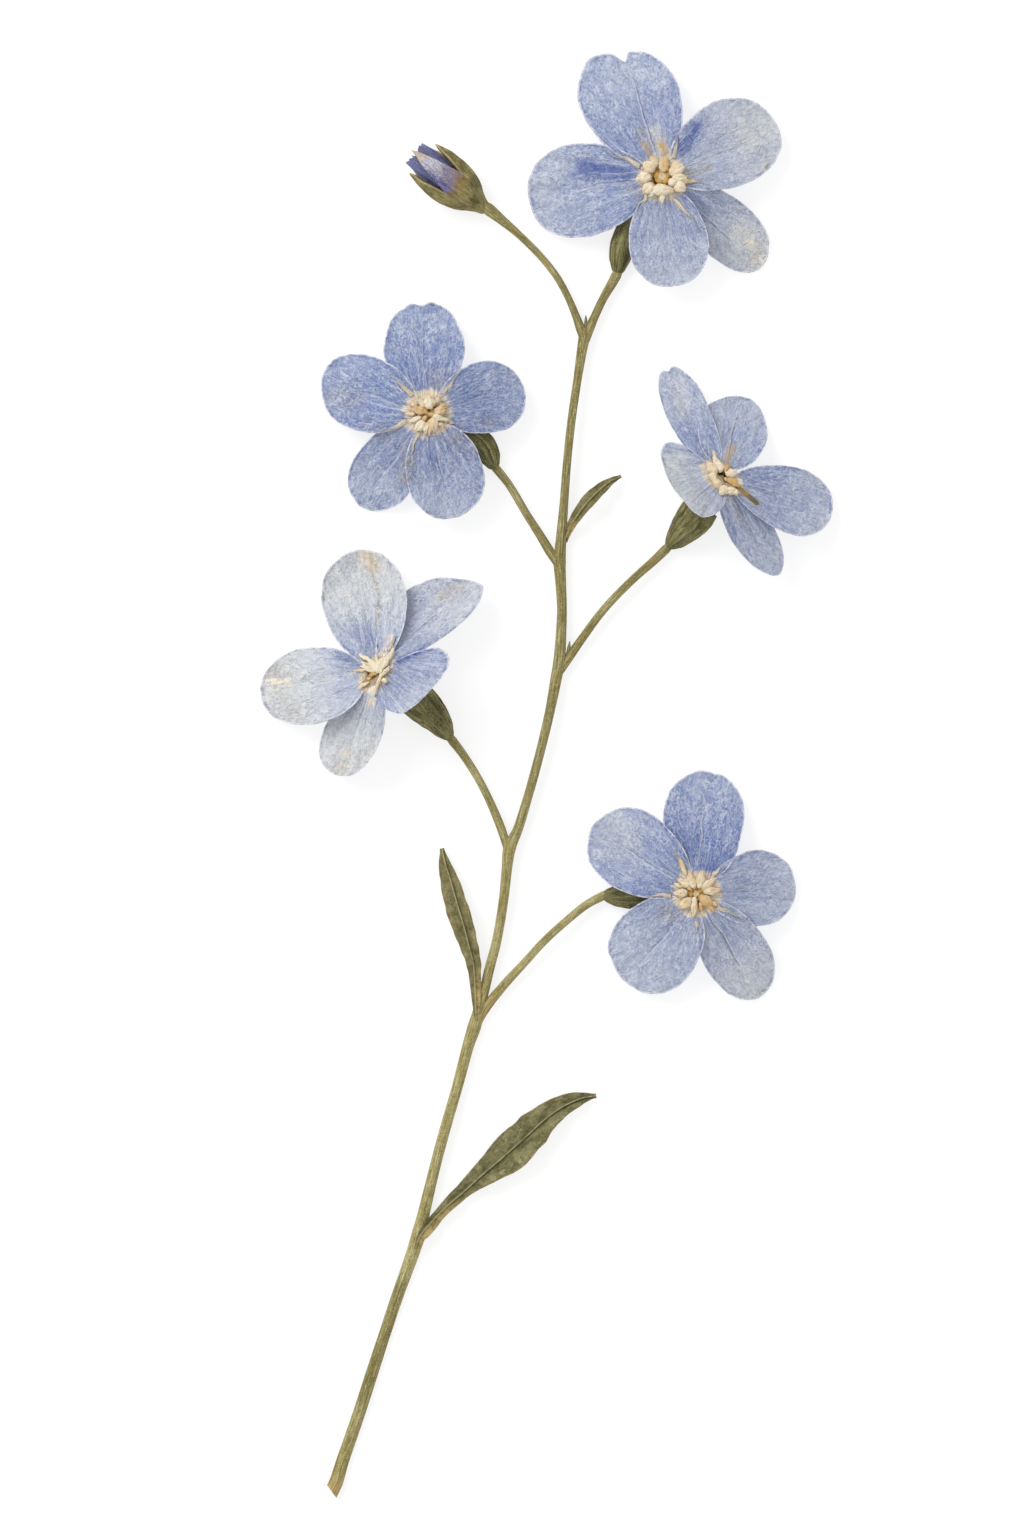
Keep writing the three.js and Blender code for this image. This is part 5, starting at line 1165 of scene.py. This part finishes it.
def make_corolla(bloom, number, squares, thickness, relief):
    petals = [petal_part(bloom, petal, squares, thickness, relief) for petal in bloom["petals"]]
    tops = np.vstack([points[: len(points) // 2] for points, _, _ in petals])
    slivers = [sliver_part(bloom, sliver, tops, 7 * number + k) for k, sliver in enumerate(bloom["slivers"])]
    settings = bpy.context.scene.sprig_petals
    skin = finish_of("Dry petal", petal_finish, settings.pale, settings.blue, settings.deep)
    make_piece(f"corolla_{number}_petals", joined([*petals, throat_part(bloom), tube_part(bloom), *slivers]), skin,
               "petal", f"corolla_{number}", unwrapped=True)


def make_lumps(name, bloom, rows, settings, slot, node):
    """Runs the scale group on rows of [x, y, half length, half width, turn, half height, rise, warmth]."""
    rows = np.array(rows, float)
    x, y = bloom["centre"][0] + rows[:, 0], bloom["centre"][1] + rows[:, 1]
    mesh = bpy.data.meshes.new("lump_spots")
    mesh.from_pydata(np.stack([x, y, plane_height(bloom, x, y) + rows[:, 6]], axis=1).tolist(), [], [])
    turn = np.radians(rows[:, 4])
    slope = math.tan(bloom["tilt"]) * (np.cos(turn) * bloom["facing"][0] + np.sin(turn) * bloom["facing"][1])
    put_marks(mesh, {"turn": turn, "pitch": np.arctan(slope) + 0.12, "warmth": rows[:, 7],
                     "size": rows[:, [2, 3, 5]]})
    made = grown(mesh, "Throat scales", settings)
    move_points(made, (points_of(made).astype(float) + CENTRING) * MM)
    finish_piece(name, made, slot, node)


def make_eye(bloom, number, size, rise):
    skin = finish_of("Cream scale", waxy_finish, linear(228, 216, 192), linear(198, 162, 108), linear(132, 100, 60),
                     7.0, 0.03)
    rows = [[x, y, long * size, short * size, turn, high * size, rise, warm]
            for x, y, long, short, turn, high, warm in bloom["scales"]]
    make_lumps(f"eye_{number}_scales", bloom, rows, {"Seed": number, "Material": skin}, "scale", f"eye_{number}")


def make_anthers(bloom, number):
    skin = finish_of("Golden anther", waxy_finish, linear(214, 178, 112), linear(176, 130, 60), linear(108, 74, 34),
                     9.0, 0.03)
    size, rise = (0.75, 0.04) if bloom["tilt"] else (1.0, 0.15)
    long, short, high = (size * half for half in ANTHER_SIZE)
    rows = []
    for k in range(LOBES):
        turn = 2 * math.pi * (k + 0.31 * number) / LOBES
        middle = ANTHER_RING * np.array([bloom["squeeze"] ** 0.6 * math.cos(turn), math.sin(turn)])
        if bloom["tilt"]:
            fx, fy = bloom["facing"]
            middle = middle[0] * np.array([fx, fy]) + middle[1] * np.array([-fy, fx])
        rows.append([*(middle + bloom["hole"]), long, short, math.degrees(turn) + 90, high,
                     rise + 0.04 * scatter(k, number, 5), 0.5 * scatter(k, number, 9)])
    settings = {"Point": 0.2, "Crease": 0.2, "Dents": 0.1, "Seed": 20 + number, "Material": skin}
    make_lumps(f"anthers_{number}_ring", bloom, rows, settings, "anther", f"anthers_{number}")


def make_pistil(bloom, number):
    skin = finish_of("Grey style tip", waxy_finish, linear(214, 196, 158), linear(198, 164, 112),
                     linear(140, 110, 72), 12.0, 0.015)
    size = bloom.get("style", 1.0)
    points, faces = turned_profile([[radius * size, height] for radius, height in STYLE_PROFILE], 28)
    marks = {"warmth": smooth(points[:, 2], 0.25, 0.0)}
    make_piece(f"pistil_{number}_tip", (on_bloom(bloom, points) + [*bloom["hole"], 0.0], faces, marks), skin,
               "pistil", f"pistil_{number}")


def ribbed_cup(axis, shape, around=120, outer=34, inner=10, seed=0):
    """A ribbed cup along an axis with one pointed tooth to each lobe: its points and faces, and for each
    point the way round, the way along and how far along its tooth ends."""
    angles = around_circle(around)
    wave = np.cos(LOBES * angles)
    angles = angles + shape["turn"]
    fullness = np.power(0.5 + 0.5 * wave, 0.6)
    front = shape.get("front", 0.0) * np.maximum(np.sin(angles), 0) ** 3
    rim = lerp(shape["mouth"], shape["tips"] + front, fullness)
    rim = rim + shape["ragged"] * fullness * noise(7 * np.cos(angles) + 9, 7 * np.sin(angles) + 9, seed + 4)
    rings, shares = [], []

    def ring(share, swell):
        centre, _, side, up = axis(share)
        radius = np.interp(share, *zip(*shape["radii"])) * (1 + shape["rib"] * wave) + swell
        points = centre + radius[:, None] * (np.cos(angles)[:, None] * side + np.sin(angles)[:, None] * up)
        points[:, 2] = np.maximum(points[:, 2], 0.0)
        rings.append(points)
        shares.append(share)

    for i in range(outer + 1):
        part = i / outer
        share = part * lerp(shape["mouth"], rim, part)
        fine = RIBLET * np.cos(LOBES * 4 * angles + 2.0 * noise(share * 9, angles, seed))
        fine = fine + FLECK * noise(angles * 2.2, share * 14, seed + 1)
        ring(share, fine * smooth(share, 0.02, 0.12))
    for i in range(inner + 1):
        ring(lerp(rim, shape["floor"], i / inner), -shape["wall"] if i else -0.05)
    points, faces = turned_loft(rings)
    turns = np.concatenate([np.tile(angles, len(rings)), [0.0, 0.0]])
    lip = np.concatenate([np.tile(rim, len(rings)), [1.0, 1.0]])
    return points, faces, turns, np.concatenate([*shares, [0.0, shape["floor"]]]), lip


def make_calyx(bloom, number):
    points, faces, around, along, lip = ribbed_cup(bloom["axis"], bloom["calyx"], seed=number)
    length = np.hypot(*(np.array(bloom["centre"]) - np.array(bloom["foot"])))
    marks = {"flow": columns(len(points), around, along * length, number),
             "tan": 0.5 * smooth(lip - along, 0.025, 0.0), "grow": bloom["axis"](along)[1]}
    skin = finish_of("Dry calyx", fibre_finish, linear(158, 152, 104), linear(102, 99, 58), linear(48, 43, 20))
    make_piece(f"calyx_{number}_cup", (points, faces, marks), skin, "calyx", f"calyx_{number}")


# Bud

BUD_FOOT = np.array([-2.85, 27.17, 0.8])
BUD_TIP = np.array([-6.58, 30.09, 1.3])
BUD_SEPALS = {
    "radii": [[0, 0.2], [0.015, 0.29], [0.035, 0.33], [0.09, 0.42], [0.15, 0.58], [0.2, 0.75], [0.26, 0.9],
              [0.33, 1.02], [0.41, 1.1], [0.5, 1.145], [0.6, 1.145], [0.7, 1.1], [0.8, 1.0], [0.9, 0.84], [1, 0.62]],
    "mouth": 0.43, "tips": 0.81, "front": 0.15, "floor": 0.16, "wall": 0.22, "rib": 0.06, "turn": 0.314,
    "ragged": 0.035,
}
BUD_PETALS = {
    "radii": [[0, 0.2], [0.15, 0.5], [0.4, 0.68], [0.7, 0.7], [0.92, 0.58]],
    "mouth": 0.76, "tips": 0.91, "floor": 0.66, "wall": 0.3, "rib": 0.08, "turn": 0.942, "ragged": 0.05,
}


def bud_axis(start):
    tangent = unit(BUD_TIP - BUD_FOOT)
    side = unit(np.cross(UP, tangent))
    up = np.cross(tangent, side)

    def axis(share):
        share = np.atleast_1d(share)
        ones = np.ones((len(share), 1))
        return (BUD_FOOT + lerp(start, 1.0, share)[:, None] * (BUD_TIP - BUD_FOOT), ones * tangent, ones * side,
                ones * up)

    return axis


def make_bud():
    length, axis, sides, outer = float(np.linalg.norm(BUD_TIP - BUD_FOOT)), bud_axis(0.0), 160, 44
    points, faces, around, along, lip = ribbed_cup(axis, BUD_SEPALS, sides, outer, 12, seed=40)
    turned = np.mod(around - math.pi / 2 + math.pi, 2 * math.pi) - math.pi
    front = smooth(np.abs(turned), 0.75, 0.45)
    marks = {
        "flow": columns(len(points), around, along * length, 40),
        "zones": columns(len(points), front, np.clip(along / 0.9, 0, 1), smooth(lip - along, 0.018, 0.002)),
        "inside": 0.8 * (np.arange(len(points)) >= (outer + 2) * sides), "grow": axis(along)[1],
        "blue": smooth(turned, -0.05, -0.32) * front * smooth(along, 0.36, 0.5) * smooth(along, 0.8, 0.68),
    }
    make_piece("bud_sepals", (points, faces, marks), finish_of("Bud sepal", bud_sepal_finish), "calyx", "bud_calyx")
    points, faces, around, along, lip = ribbed_cup(bud_axis(BUD_PETAL_START), BUD_PETALS, 140, 36, 8, seed=50)
    marks = petal_marks(
        len(points), (0.4 + 0.4 * noise(around * 2, along * 4, 3), 0.15 * smooth(along, 0.7, 0.95), 0),
        (0.95 - (lip - along) * 2.0, OFF_RIB, 0), (around, along * length, 50),
        tone=0.5 + 0.4 * noise(around * 2, along * 4, 4))
    skin = finish_of("Bud petal", petal_finish, linear(136, 137, 190), linear(88, 90, 158), linear(50, 52, 118), 0.4)
    make_piece("bud_petals", (points, faces, marks), skin, "bud_petal", "bud_corolla")


# Leaves: knots are [x, y, width to the left of the midrib, width to its right, height of its middle],
# and after them how worn the leaf is all over

LEAVES = {
    "leaf_lower": ([
        [-6.28, -22.75, 0.04, 0.08, 0.64], [-6.08, -22.2, 0.13, 0.28, 0.73], [-5.7, -21.7, 0.22, 0.38, 0.66],
        [-4.9, -20.85, 0.28, 0.28, 0.5], [-3.8, -19.87, 0.47, 0.33, 0.6], [-2.95, -19.1, 0.56, 0.6, 0.7],
        [-1.9, -18.2, 0.86, 0.98, 0.8], [-0.85, -17.25, 0.9, 0.9, 0.85], [0.1, -16.4, 0.74, 0.62, 0.8],
        [1.0, -15.82, 0.53, 0.42, 0.6], [1.8, -15.5, 0.27, 0.28, 0.45], [2.42, -15.4, 0.07, 0.07, 0.4],
    ], 0.12),
    "leaf_middle": ([
        [-3.37, -11.75, 0.04, 0.05, 0.62], [-3.36, -11.4, 0.13, 0.16, 0.7], [-3.38, -10.8, 0.18, 0.24, 0.6],
        [-3.42, -9.9, 0.25, 0.3, 0.55], [-3.5, -9.0, 0.34, 0.38, 0.7], [-3.75, -8.0, 0.46, 0.46, 0.85],
        [-4.02, -7.0, 0.6, 0.5, 0.95], [-4.32, -6.0, 0.6, 0.48, 0.9], [-4.6, -5.0, 0.5, 0.4, 0.7],
        [-4.85, -4.2, 0.32, 0.25, 0.5], [-5.0, -3.5, 0.06, 0.06, 0.4],
    ], 0.28),
    "leaf_upper": ([
        [0.9, 11.25, 0.12, 0.12, 0.45], [1.12, 11.85, 0.2, 0.2, 0.6], [1.5, 12.5, 0.27, 0.27, 0.8],
        [2.0, 13.15, 0.36, 0.34, 0.95], [2.6, 13.75, 0.3, 0.3, 0.9], [3.15, 14.17, 0.16, 0.18, 0.65],
        [3.62, 14.4, 0.05, 0.05, 0.4],
    ], 0.35),
}


def make_leaf(name, rows, count, thickness, relief, seed):
    knots, worn = LEAVES[name]
    course = Course([[x, y, 0.0] for x, y, *_ in knots])
    spots = np.linspace(0, 1, rows)
    centre = course.by_knots(spots)
    ahead = course.by_knots(np.minimum(spots + 1e-4, 1)) - course.by_knots(np.maximum(spots - 1e-4, 0))
    side = unit(np.cross(UP, unit(ahead)))
    at_knot = spots * (len(knots) - 1)
    left, right, height = (np.interp(at_knot, np.arange(len(knots)), values) for values in list(zip(*knots))[2:])
    window = rows // (len(knots) - 1)
    left, right = (np.convolve(np.pad(w, (window // 2, window - 1 - window // 2), mode="reflect"),
                               np.ones(window) / window, mode="valid") for w in (left, right))
    share = np.linspace(1, -1, count)[None, :]
    across = np.where(share > 0, share * left[:, None], share * right[:, None])
    across = across * (1 + 0.05 * noise(at_knot * 2.6, at_knot * 0 + seed, seed)[:, None] * np.abs(share))
    x = centre[:, :1] + side[:, :1] * across
    y = centre[:, 1:2] + side[:, 1:2] * across
    wave = LEAF_WAVE * share ** 2 * np.sin(1.9 * (2 * at_knot[:, None]) + np.where(share > 0, 0, 2))
    z = height[:, None] + LEAF_FOLD * np.abs(across) + wave - SOLID_BLADE / 2 + LEAF_LIFT
    z = z + relief * rough(x * 1.6, y * 1.6, seed, 3) + 0.5 * relief * crests(x * 4, y * 4, seed + 1, 3)
    z = z - 0.06 * bell(across + 0.09, 0.06) + 0.05 * bell(across, 0.05)
    z = z + 0.05 * np.abs(share) ** 8 * noise(at_knot[:, None] * 3 + share, share * 2, seed + 2)
    flat = np.zeros_like(x)
    tan = 0.95 * smooth(spots, 0.42, 0.16)[:, None] * smooth(across, 0.1, -0.05)
    tan = tan + 0.5 * smooth(spots, 0.975, 1.0)[:, None] + worn
    marks = {"edge": columns(x.size, np.abs(share) + flat, across, 0), "tan": tan.ravel(),
             "flow": columns(x.size, across, course.walked[-1] * spots[:, None] + flat, seed)}
    make_piece(name + "_blade", sheet_part(x, y, z, thickness, marks), finish_of("Dry leaf", leaf_finish), "leaf",
               name)


# Add-on classes

def whole_setting(name, description, default, low):
    return bpy.props.IntProperty(name=name, description=description, default=default, min=low)


def number_setting(name, description, default, **more):
    return bpy.props.FloatProperty(name=name, description=description, default=default, **more)


def colour_setting(name, description, *screen):
    return bpy.props.FloatVectorProperty(name=name, description=description, subtype="COLOR", size=3, min=0,
                                         max=1, default=linear(*screen))


class StemSettings(bpy.types.PropertyGroup):
    sides: whole_setting("Sides", "Points round the stem", 40, 8)
    ridges: number_setting("Ridges", "Long ridges round the stem", 7.0, min=0.0)
    ridge_height: number_setting("Ridge height", "Share of the stem's radius", 0.06, min=0.0, subtype="FACTOR")
    spacing: number_setting("Spacing", "Length of one step along the stem, in mm", 0.16, min=0.02)


class PetalSettings(bpy.types.PropertyGroup):
    squares: whole_setting("Squares", "Squares across a petal", 58, 8)
    thickness: number_setting("Thickness", "Thickness of a petal, in mm", 0.12, min=0.02)
    relief: number_setting("Relief", "Height of the wrinkles, in mm", 0.05, min=0.0)
    pale: colour_setting("Pale", "The petals' lighter colour", 190, 197, 211)
    blue: colour_setting("Blue", "The petals' darker colour", 112, 131, 178)
    deep: colour_setting("Deep", "The strongest blue", 78, 97, 158)


class EyeSettings(bpy.types.PropertyGroup):
    size: number_setting("Size", "Scale of the cream lumps", 1.0, min=0.1)
    rise: number_setting("Rise", "Height of the lumps over the petals' foot, in mm", 0.42)


class LeafSettings(bpy.types.PropertyGroup):
    rows: whole_setting("Rows", "Points along a leaf", 170, 8)
    columns: whole_setting("Columns", "Points across a leaf", 49, 5)
    thickness: number_setting("Thickness", "Thickness of a leaf, in mm", 0.14, min=0.02)
    relief: number_setting("Relief", "Height of the crumpling, in mm", 0.08, min=0.0)


class HairSettings(bpy.types.PropertyGroup):
    density: number_setting("Density", "Hairs to a square millimetre", 8.0, min=0.0)
    length: number_setting("Length", "Length of a hair, in mm", 0.17, min=0.01)
    thickness: number_setting("Thickness", "Radius of a hair at its foot, in mm", 0.0065, min=0.001)


class StageSettings(bpy.types.PropertyGroup):
    floor_width: number_setting("Floor width", "Side of the floor", 3.0, unit="LENGTH")
    camera_height: number_setting("Camera height", "Height of the camera over the floor", 0.6, unit="LENGTH")
    view_height: number_setting("View height", "Length that the picture's height covers", 0.073728,
                                unit="LENGTH", precision=5)


class SPRIG_OT_stem(bpy.types.Operator):
    """Grow the stem, its stalks and its cut end"""
    bl_idname = "sprig.stem"
    bl_label = "Stem"

    def execute(self, context):
        s = context.scene.sprig_stem
        make_stem(s.sides, s.ridges, s.ridge_height, s.spacing)
        return {"FINISHED"}


class SPRIG_OT_leaves(bpy.types.Operator):
    """Make the three dry leaves"""
    bl_idname = "sprig.leaves"
    bl_label = "Leaves"

    def execute(self, context):
        s = context.scene.sprig_leaves
        for seed, name in enumerate(LEAVES, 60):
            make_leaf(name, s.rows, s.columns, s.thickness, s.relief, seed)
        return {"FINISHED"}


class SPRIG_OT_calyces(bpy.types.Operator):
    """Make the ribbed cup under each bloom"""
    bl_idname = "sprig.calyces"
    bl_label = "Calyces"

    def execute(self, context):
        for bloom, number in ready_blooms():
            make_calyx(bloom, number)
        return {"FINISHED"}


class SPRIG_OT_corollas(bpy.types.Operator):
    """Make the petals of each bloom with their tube and folded margins"""
    bl_idname = "sprig.corollas"
    bl_label = "Petals"

    def execute(self, context):
        s = context.scene.sprig_petals
        for bloom, number in ready_blooms():
            make_corolla(bloom, number, s.squares, s.thickness, s.relief)
        return {"FINISHED"}


class SPRIG_OT_eyes(bpy.types.Operator):
    """Make the cream scales, golden anthers and style tip of each bloom"""
    bl_idname = "sprig.eyes"
    bl_label = "Eyes"

    def execute(self, context):
        s = context.scene.sprig_eyes
        for bloom, number in ready_blooms():
            make_eye(bloom, number, s.size, s.rise)
            make_anthers(bloom, number)
            make_pistil(bloom, number)
        return {"FINISHED"}


class SPRIG_OT_bud(bpy.types.Operator):
    """Make the closed bud's sepals and petals"""
    bl_idname = "sprig.bud"
    bl_label = "Bud"

    def execute(self, context):
        make_bud()
        return {"FINISHED"}


class SPRIG_OT_hairs(bpy.types.Operator):
    """Grow short lying hairs on the cups and the bud"""
    bl_idname = "sprig.hairs"
    bl_label = "Hairs"

    def execute(self, context):
        s = context.scene.sprig_hairs
        skin = finish_of("Pale hair", plain_finish, linear(178, 170, 126), 0.7)
        hosts = [f"calyx_{number}_cup" for number in range(1, len(BLOOMS) + 1)] + ["bud_sepals"]
        for seed, host in enumerate(hosts, 3):
            if host not in bpy.data.objects:
                raise RuntimeError(f"{host} is made before its hairs")
            mesh = grown(bpy.data.objects[host].data.copy(), "Lying hairs", {
                "Density": s.density / MM ** 2, "Length": s.length * MM, "Thickness": s.thickness * MM, "Lift": 0.2,
                "Seed": seed, "Material": skin})
            keep_above(mesh)
            finish_piece(host.rsplit("_", 1)[0] + "_hairs", mesh, "calyx")
        return {"FINISHED"}


class SPRIG_OT_stage(bpy.types.Operator):
    """Lay the pale floor and set the soft lights and the camera"""
    bl_idname = "sprig.stage"
    bl_label = "Stage"

    def execute(self, context):
        make_stage(context.scene)
        return {"FINISHED"}


def make_stage(scene):
    s = scene.sprig_stage
    half = s.floor_width / 2
    mesh = bpy.data.meshes.new("floor")
    mesh.from_pydata([(-half, -half, 0), (half, -half, 0), (half, half, 0), (-half, half, 0)], [], [(0, 1, 2, 3)])
    mesh.materials.append(finish_of("Pale floor", plain_finish, (FLOOR_TONE,) * 3, 0.9, FLOOR_GLOW))
    floor = bpy.data.objects.new("floor", mesh)
    scene.collection.objects.link(floor)
    world = bpy.data.worlds.new("Soft room")
    world.use_nodes = True
    world.node_tree.nodes["Background"].inputs["Color"].default_value = (1.0, 1.0, 1.0, 1.0)
    world.node_tree.nodes["Background"].inputs["Strength"].default_value = ROOM_GLOW
    scene.world = world
    lamp = bpy.data.lights.new("Window", "AREA")
    lamp.shape, lamp.size, lamp.energy = "DISK", WINDOW_SIZE, WINDOW_POWER
    window = bpy.data.objects.new("Window", lamp)
    window.location = WINDOW_PLACE
    window.rotation_euler = (-window.location).to_track_quat("-Z", "Y").to_euler()
    scene.collection.objects.link(window)
    lens = bpy.data.cameras.new("Overhead")
    lens.sensor_fit, lens.sensor_height, lens.sensor_width = "VERTICAL", 36.0, 24.0
    lens.lens = 36.0 * s.camera_height / s.view_height
    lens.clip_start, lens.clip_end = 0.01, 10.0
    camera = bpy.data.objects.new("Overhead", lens)
    x, y, z = VIEW_MIDDLE
    camera.location = (x * MM, y * MM, s.camera_height + z * MM)
    scene.collection.objects.link(camera)
    scene.camera = camera
    scene.view_settings.view_transform = "Standard"


SETTINGS = {"sprig_stem": StemSettings, "sprig_petals": PetalSettings, "sprig_eyes": EyeSettings,
            "sprig_leaves": LeafSettings, "sprig_hairs": HairSettings, "sprig_stage": StageSettings}
OPERATORS = [SPRIG_OT_stage, SPRIG_OT_stem, SPRIG_OT_leaves, SPRIG_OT_calyces, SPRIG_OT_corollas, SPRIG_OT_eyes,
             SPRIG_OT_bud, SPRIG_OT_hairs]


class SPRIG_PT_panel(bpy.types.Panel):
    """Settings and builders of the dried sprig"""
    bl_idname = "SPRIG_PT_panel"
    bl_label = "Dried sprig"
    bl_space_type = "VIEW_3D"
    bl_region_type = "UI"
    bl_category = "Sprig"

    def draw(self, context):
        for operator in OPERATORS:
            self.layout.operator(operator.bl_idname)
        for key, settings in SETTINGS.items():
            box = self.layout.box()
            for name in settings.__annotations__:
                box.prop(getattr(context.scene, key), name)


def register():
    for settings in SETTINGS.values():
        bpy.utils.register_class(settings)
    for key, settings in SETTINGS.items():
        setattr(bpy.types.Scene, key, bpy.props.PointerProperty(type=settings))
    for operator in OPERATORS:
        bpy.utils.register_class(operator)
    bpy.utils.register_class(SPRIG_PT_panel)


def unregister():
    bpy.utils.unregister_class(SPRIG_PT_panel)
    for operator in reversed(OPERATORS):
        bpy.utils.unregister_class(operator)
    for key in SETTINGS:
        delattr(bpy.types.Scene, key)
    for settings in reversed(SETTINGS.values()):
        bpy.utils.unregister_class(settings)


def main():
    register()
    for operator in OPERATORS:
        getattr(bpy.ops.sprig, operator.bl_idname.split(".")[1])()


if __name__ == "__main__":
    main()
